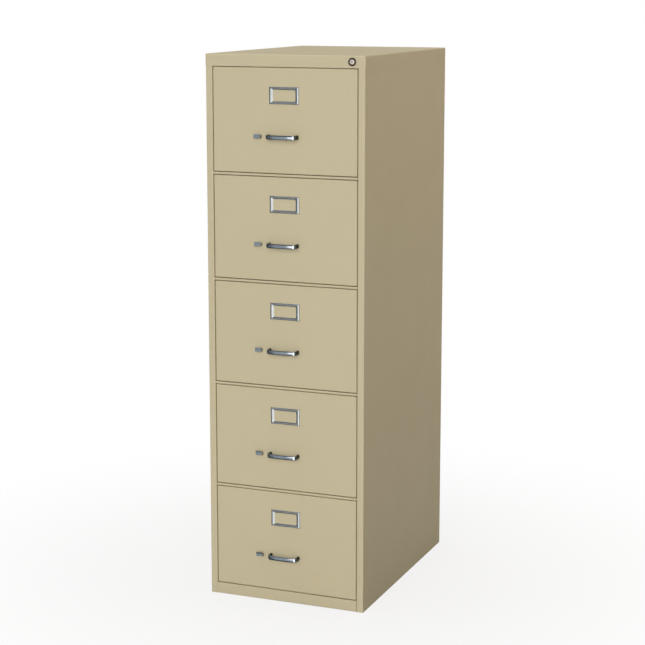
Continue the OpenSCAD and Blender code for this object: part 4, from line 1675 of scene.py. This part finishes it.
    def follower(self) -> None:
        """Builds the follower: a flanged plate with rounded corners, gussets and a shoe on the track."""
        span = self.pusher
        plate_y, top = span.low.y, span.high.z
        half, lip, shoe_low = 150.0, 12.0, self.floor_top + 1
        shoe_top = self.floor_top + self.track_height + 0.3 + 2
        points = [(-half, plate_y + lip), (-half, plate_y), (half, plate_y), (half, plate_y + lip)]
        plate = Solid().prism(bent_sheet(points, 1.2, 2.4, 5), Axis.Z, shoe_top, top)
        plate.mesh(self.details.bead_row(
            3, (-100, plate_y + 1.0, shoe_top + 25), (0, 0, top - shoe_top - 50), (100, 0, 0), 1.0, ZINC
        ))
        shoe = Solid().box((-9.3, plate_y, shoe_low), (9.3, plate_y + 56, shoe_top), 0.5)
        web, head, low, waist, crown = 4.3, 7.3, shoe_low - 1, self.floor_top + 2.7, self.floor_top + 5.3
        groove = [(-web, low), (web, low), (web, waist), (head, waist), (head, crown), (-head, crown)]
        groove += [(-head, waist), (-web, waist)]
        plate.mesh(baked_once(shoe.cut(Solid().prism(groove, Axis.Y, plate_y - 2, plate_y + 58))))
        gusset = [(plate_y + 0.6, shoe_top), (plate_y + 40, shoe_top), (plate_y + 0.6, shoe_top + 80)]
        for low in (7.3, -8.5):
            plate.prism(gusset, Axis.X, low, low + 1.2)
        plate.piece(self.node("follower_plate"), self.node("follower"), ZINC, [self.node("follower")])


# ---------------------------------------------------------------- studio


@dataclass(frozen=True)
class Panel:
    """A soft-edged light panel of the surround that reflections see, in degrees from the object."""

    azimuth: tuple[float, float]
    elevation: tuple[float, float]
    level: Colour
    softness: float = 6.0


@dataclass
class StudioSet:
    """The floor, the lamps, the surroundings and the camera."""

    floor_size: float = 60.0
    shadow_start: float = 0.3
    shadow_reach: float = 1.6
    shadow_share: float = 0.20
    footprint: tuple[float, float] = (0.215, 0.305)
    lens: float = 97.18
    sensor: float = 36.0
    lens_shift: float = -0.04
    eye: tuple[float, float, float] = (1.8393, -4.6091, 1.7030)
    yaw: float = -21.969
    pitch: float = 10.116
    ambient: float = 0.19
    dark: Colour = (0.05, 0.055, 0.06)
    panels: tuple[Panel, ...] = (
        Panel((-31.5, -10), (-26, 7), (0.33, 0.37, 0.40), 5.0),
        Panel((-16, 44), (-13, -1), (1.5, 1.5, 1.5), 2.0),
        Panel((-13, 44), (-23, 9), (1.5, 1.5, 1.5), 2.0),
        Panel((-9, 44), (-45, 26), (1.5, 1.5, 1.5), 2.0),
        Panel((-179, -105), (-6, 50), (0.30, 0.29, 0.27), 8.0),
        Panel((105, 179), (-20, 50), (0.20, 0.19, 0.17), 8.0),
        Panel((-170, 170), (62, 90), (0.9, 0.9, 0.9), 8.0),
    )

    def build(self) -> None:
        """Builds the studio."""
        self.floor()
        self.world()
        self.lamps()
        self.camera()

    def floor(self) -> None:
        """Lays a floor that looks white, but for a soft shadow near the object, and is dark below it."""
        data = bpy.data.meshes.new("studio_floor")
        half = self.floor_size / 2
        corners = [(-half, -half, 0), (half, -half, 0), (half, half, 0), (-half, half, 0)]
        data.from_pydata(corners, [], [(0, 1, 2, 3)])
        floor = bpy.data.objects.new("studio_floor", data)
        floor.visible_glossy = False
        bpy.context.scene.collection.objects.link(floor)
        material = bpy.data.materials.new(Studio.FLOOR.value)
        material.use_nodes = True
        board = NodeBoard(material.node_tree)
        output = board.add("ShaderNodeOutputMaterial")
        matte = board.add("ShaderNodeBsdfPrincipled")
        matte.inputs["Roughness"].default_value = 0.9
        grain = board.ramp(board.noise(3, 4), 0, 1)
        board.link(board.blend(grain, (0.62, 0.61, 0.59), (0.60, 0.59, 0.57)), matte.inputs["Base Color"])
        paper = board.add("ShaderNodeEmission")
        paper.inputs["Color"].default_value = (1, 1, 1, 1)
        where = board.add("ShaderNodeTexCoord")
        length = board.add("ShaderNodeVectorMath", operation="LENGTH")
        board.link(where.outputs["Object"], length.inputs[0])
        near = board.add("ShaderNodeMapRange", interpolation_type="SMOOTHSTEP")
        near.inputs["From Min"].default_value = self.shadow_start
        near.inputs["From Max"].default_value = self.shadow_reach
        near.inputs["To Min"].default_value = 1 - self.shadow_share
        near.inputs["To Max"].default_value = 1
        board.link(length.outputs["Value"], near.inputs["Value"])
        outside = board.add("ShaderNodeMath", operation="MAXIMUM")
        parts = board.add("ShaderNodeSeparateXYZ")
        board.link(where.outputs["Object"], parts.inputs["Vector"])
        for index, (axis, reach) in enumerate(zip("XY", self.footprint)):
            distance = board.add("ShaderNodeMath", operation="ABSOLUTE")
            board.link(parts.outputs[axis], distance.inputs[0])
            beyond = board.add("ShaderNodeMath", operation="GREATER_THAN")
            beyond.inputs[1].default_value = reach
            board.link(distance.outputs["Value"], beyond.inputs[0])
            board.link(beyond.outputs["Value"], outside.inputs[index])
        open_floor = board.add("ShaderNodeMath", operation="MULTIPLY")
        board.link(near.outputs["Result"], open_floor.inputs[0])
        board.link(outside.outputs["Value"], open_floor.inputs[1])
        path = board.add("ShaderNodeLightPath")
        share = board.add("ShaderNodeMath", operation="MULTIPLY")
        board.link(open_floor.outputs["Value"], share.inputs[0])
        board.link(path.outputs["Is Camera Ray"], share.inputs[1])
        choose = board.add("ShaderNodeMixShader")
        board.link(share.outputs["Value"], choose.inputs["Fac"])
        board.link(matte.outputs["BSDF"], choose.inputs[1])
        board.link(paper.outputs["Emission"], choose.inputs[2])
        board.link(choose.outputs["Shader"], output.inputs["Surface"])
        data.materials.append(material)

    @staticmethod
    def band(
        board: NodeBoard, value: bpy.types.NodeSocket, span: Sequence[float], soft: float
    ) -> bpy.types.NodeSocket:
        """Gives 1 inside a span of degrees and 0 outside it, with soft ends.

        Args:
            board: The world's nodes.
            value: The angle.
            span: Its lowest and highest value.
            soft: The width of each end.

        Returns:
            The mask's socket.
        """
        ends = []
        for edge, rising in ((span[0], True), (span[1], False)):
            ramp = board.add("ShaderNodeMapRange", interpolation_type="SMOOTHSTEP")
            ramp.inputs["From Min"].default_value = edge - soft / 2
            ramp.inputs["From Max"].default_value = edge + soft / 2
            ramp.inputs["To Min"].default_value = 0 if rising else 1
            ramp.inputs["To Max"].default_value = 1 if rising else 0
            board.link(value, ramp.inputs["Value"])
            ends.append(ramp.outputs["Result"])
        both = board.add("ShaderNodeMath", operation="MULTIPLY")
        board.link(ends[0], both.inputs[0])
        board.link(ends[1], both.inputs[1])
        return both.outputs["Value"]

    def angles(self, board: NodeBoard) -> tuple[bpy.types.NodeSocket, bpy.types.NodeSocket]:
        """Gives the azimuth, 0 in front and 90 on the right, and the elevation of a direction, in degrees."""
        where = board.add("ShaderNodeTexCoord")
        parts = board.add("ShaderNodeSeparateXYZ")
        board.link(where.outputs["Generated"], parts.inputs["Vector"])
        flip = board.add("ShaderNodeMath", operation="MULTIPLY")
        flip.inputs[1].default_value = -1
        board.link(parts.outputs["Y"], flip.inputs[0])
        around = board.add("ShaderNodeMath", operation="ARCTAN2")
        board.link(parts.outputs["X"], around.inputs[0])
        board.link(flip.outputs["Value"], around.inputs[1])
        above = board.add("ShaderNodeMath", operation="ARCSINE")
        board.link(parts.outputs["Z"], above.inputs[0])
        degrees = []
        for source in (around, above):
            node = board.add("ShaderNodeMath", operation="DEGREES")
            board.link(source.outputs["Value"], node.inputs[0])
            degrees.append(node.outputs["Value"])
        return degrees[0], degrees[1]

    def world(self) -> None:
        """Sets a white surround for the camera, a dim one for light and a panelled one for reflections."""
        world = bpy.data.worlds.new(Studio.WORLD.value)
        bpy.context.scene.world = world
        world.use_nodes = True
        board = NodeBoard(world.node_tree)
        output = board.add("ShaderNodeOutputWorld")
        path = board.add("ShaderNodeLightPath")
        azimuth, elevation = self.angles(board)
        seen = None
        for panel in self.panels:
            mask = board.add("ShaderNodeMath", operation="MULTIPLY")
            board.link(self.band(board, azimuth, panel.azimuth, panel.softness), mask.inputs[0])
            board.link(self.band(board, elevation, panel.elevation, panel.softness), mask.inputs[1])
            mix = board.add("ShaderNodeMix", data_type="RGBA")
            mix.inputs["B"].default_value = (*panel.level, 1)
            if seen is None:
                mix.inputs["A"].default_value = (*self.dark, 1)
            else:
                board.link(seen, mix.inputs["A"])
            board.link(mask.outputs["Value"], mix.inputs["Factor"])
            seen = mix.outputs["Result"]
        reflected = board.add("ShaderNodeBackground")
        board.link(seen, reflected.inputs["Color"])
        ambient = board.add("ShaderNodeBackground")
        ambient.inputs["Strength"].default_value = self.ambient
        ambient.inputs["Color"].default_value = (1, 0.99, 0.97, 1)
        white = board.add("ShaderNodeBackground")
        white.inputs["Color"].default_value = (1, 1, 1, 1)
        first = board.add("ShaderNodeMixShader")
        board.link(path.outputs["Is Glossy Ray"], first.inputs["Fac"])
        board.link(ambient.outputs["Background"], first.inputs[1])
        board.link(reflected.outputs["Background"], first.inputs[2])
        second = board.add("ShaderNodeMixShader")
        clear = board.add("ShaderNodeMath", operation="MAXIMUM")
        board.link(path.outputs["Is Camera Ray"], clear.inputs[0])
        board.link(path.outputs["Is Transmission Ray"], clear.inputs[1])
        board.link(clear.outputs["Value"], second.inputs["Fac"])
        board.link(first.outputs["Shader"], second.inputs[1])
        board.link(white.outputs["Background"], second.inputs[2])
        board.link(second.outputs["Shader"], output.inputs["Surface"])

    @staticmethod
    def hang(name: str, light: bpy.types.Light, place: Sequence[float], target: Sequence[float]) -> None:
        """Hangs a lamp that lights but isn't mirrored.

        Args:
            name: Its name.
            light: Its light data.
            place: Where it stands.
            target: Where it points.
        """
        lamp = bpy.data.objects.new(name, light)
        lamp.location = place
        lamp.visible_glossy = False
        aim = Vector(target) - Vector(place)
        lamp.rotation_euler = aim.to_track_quat("-Z", "Y").to_euler()
        bpy.context.scene.collection.objects.link(lamp)

    def sun(self, name: str, place: Sequence[float], strength: float, spread: float) -> None:
        """Adds an even, very soft light from one side.

        Args:
            name: Its name.
            place: A point in its direction.
            strength: Its strength.
            spread: How wide it looks, in degrees.
        """
        light = bpy.data.lights.new(name, "SUN")
        light.energy = strength
        light.angle = math.radians(spread)
        self.hang(name, light, place, (0, 0, 0))

    def box_lamp(
        self, name: str, place: Sequence[float], target: Sequence[float], size: float, power: float,
        colour: Colour
    ) -> None:
        """Adds a square soft box.

        Args:
            name: Its name.
            place: Where it stands.
            target: Where it points.
            size: Its side length.
            power: Its power in watts.
            colour: Its colour.
        """
        light = bpy.data.lights.new(name, "AREA")
        light.size = size
        light.energy = power
        light.color = colour
        self.hang(name, light, place, target)

    def lamps(self) -> None:
        """Adds the wide key light from the front, the light from above and the warm fill at the right."""
        self.sun("key_light", place=(0.7, -5.0, 1.2), strength=2.33, spread=50)
        self.sun("top_light", place=(-0.6, 0.4, 5.0), strength=1.95, spread=60)
        self.box_lamp(
            "side_light", place=(2.1, 0.3, 2.6), target=(0.2, 0.1, 1.6), size=1.2, power=13.5,
            colour=(1, 0.78, 0.60)
        )

    def camera(self) -> None:
        """Places the camera for the main view."""
        data = bpy.data.cameras.new("main_camera")
        data.lens = self.lens
        data.sensor_width = self.sensor
        data.shift_y = self.lens_shift
        data.clip_end = 200
        camera = bpy.data.objects.new("main_camera", data)
        yaw, pitch = math.radians(self.yaw), math.radians(self.pitch)
        level = math.cos(pitch)
        forward = Vector((math.sin(yaw) * level, math.cos(yaw) * level, -math.sin(pitch)))
        camera.location = self.eye
        camera.rotation_euler = forward.to_track_quat("-Z", "Y").to_euler()
        bpy.context.scene.collection.objects.link(camera)
        bpy.context.scene.camera = camera


# ---------------------------------------------------------------- whole scene


def main() -> None:
    """Builds the cabinet, its studio and the view."""
    logging.basicConfig(level=logging.INFO, format="%(name)s: %(message)s")
    scene = bpy.context.scene
    scene.view_settings.view_transform = "Standard"
    details = Details()
    Shell(details).build()
    SlideGear(details).build()
    Lock().build()
    for number in range(1, DRAWERS + 1):
        Drawer(number, details).build()
    StudioSet().build()


if __name__ == "__main__":
    main()
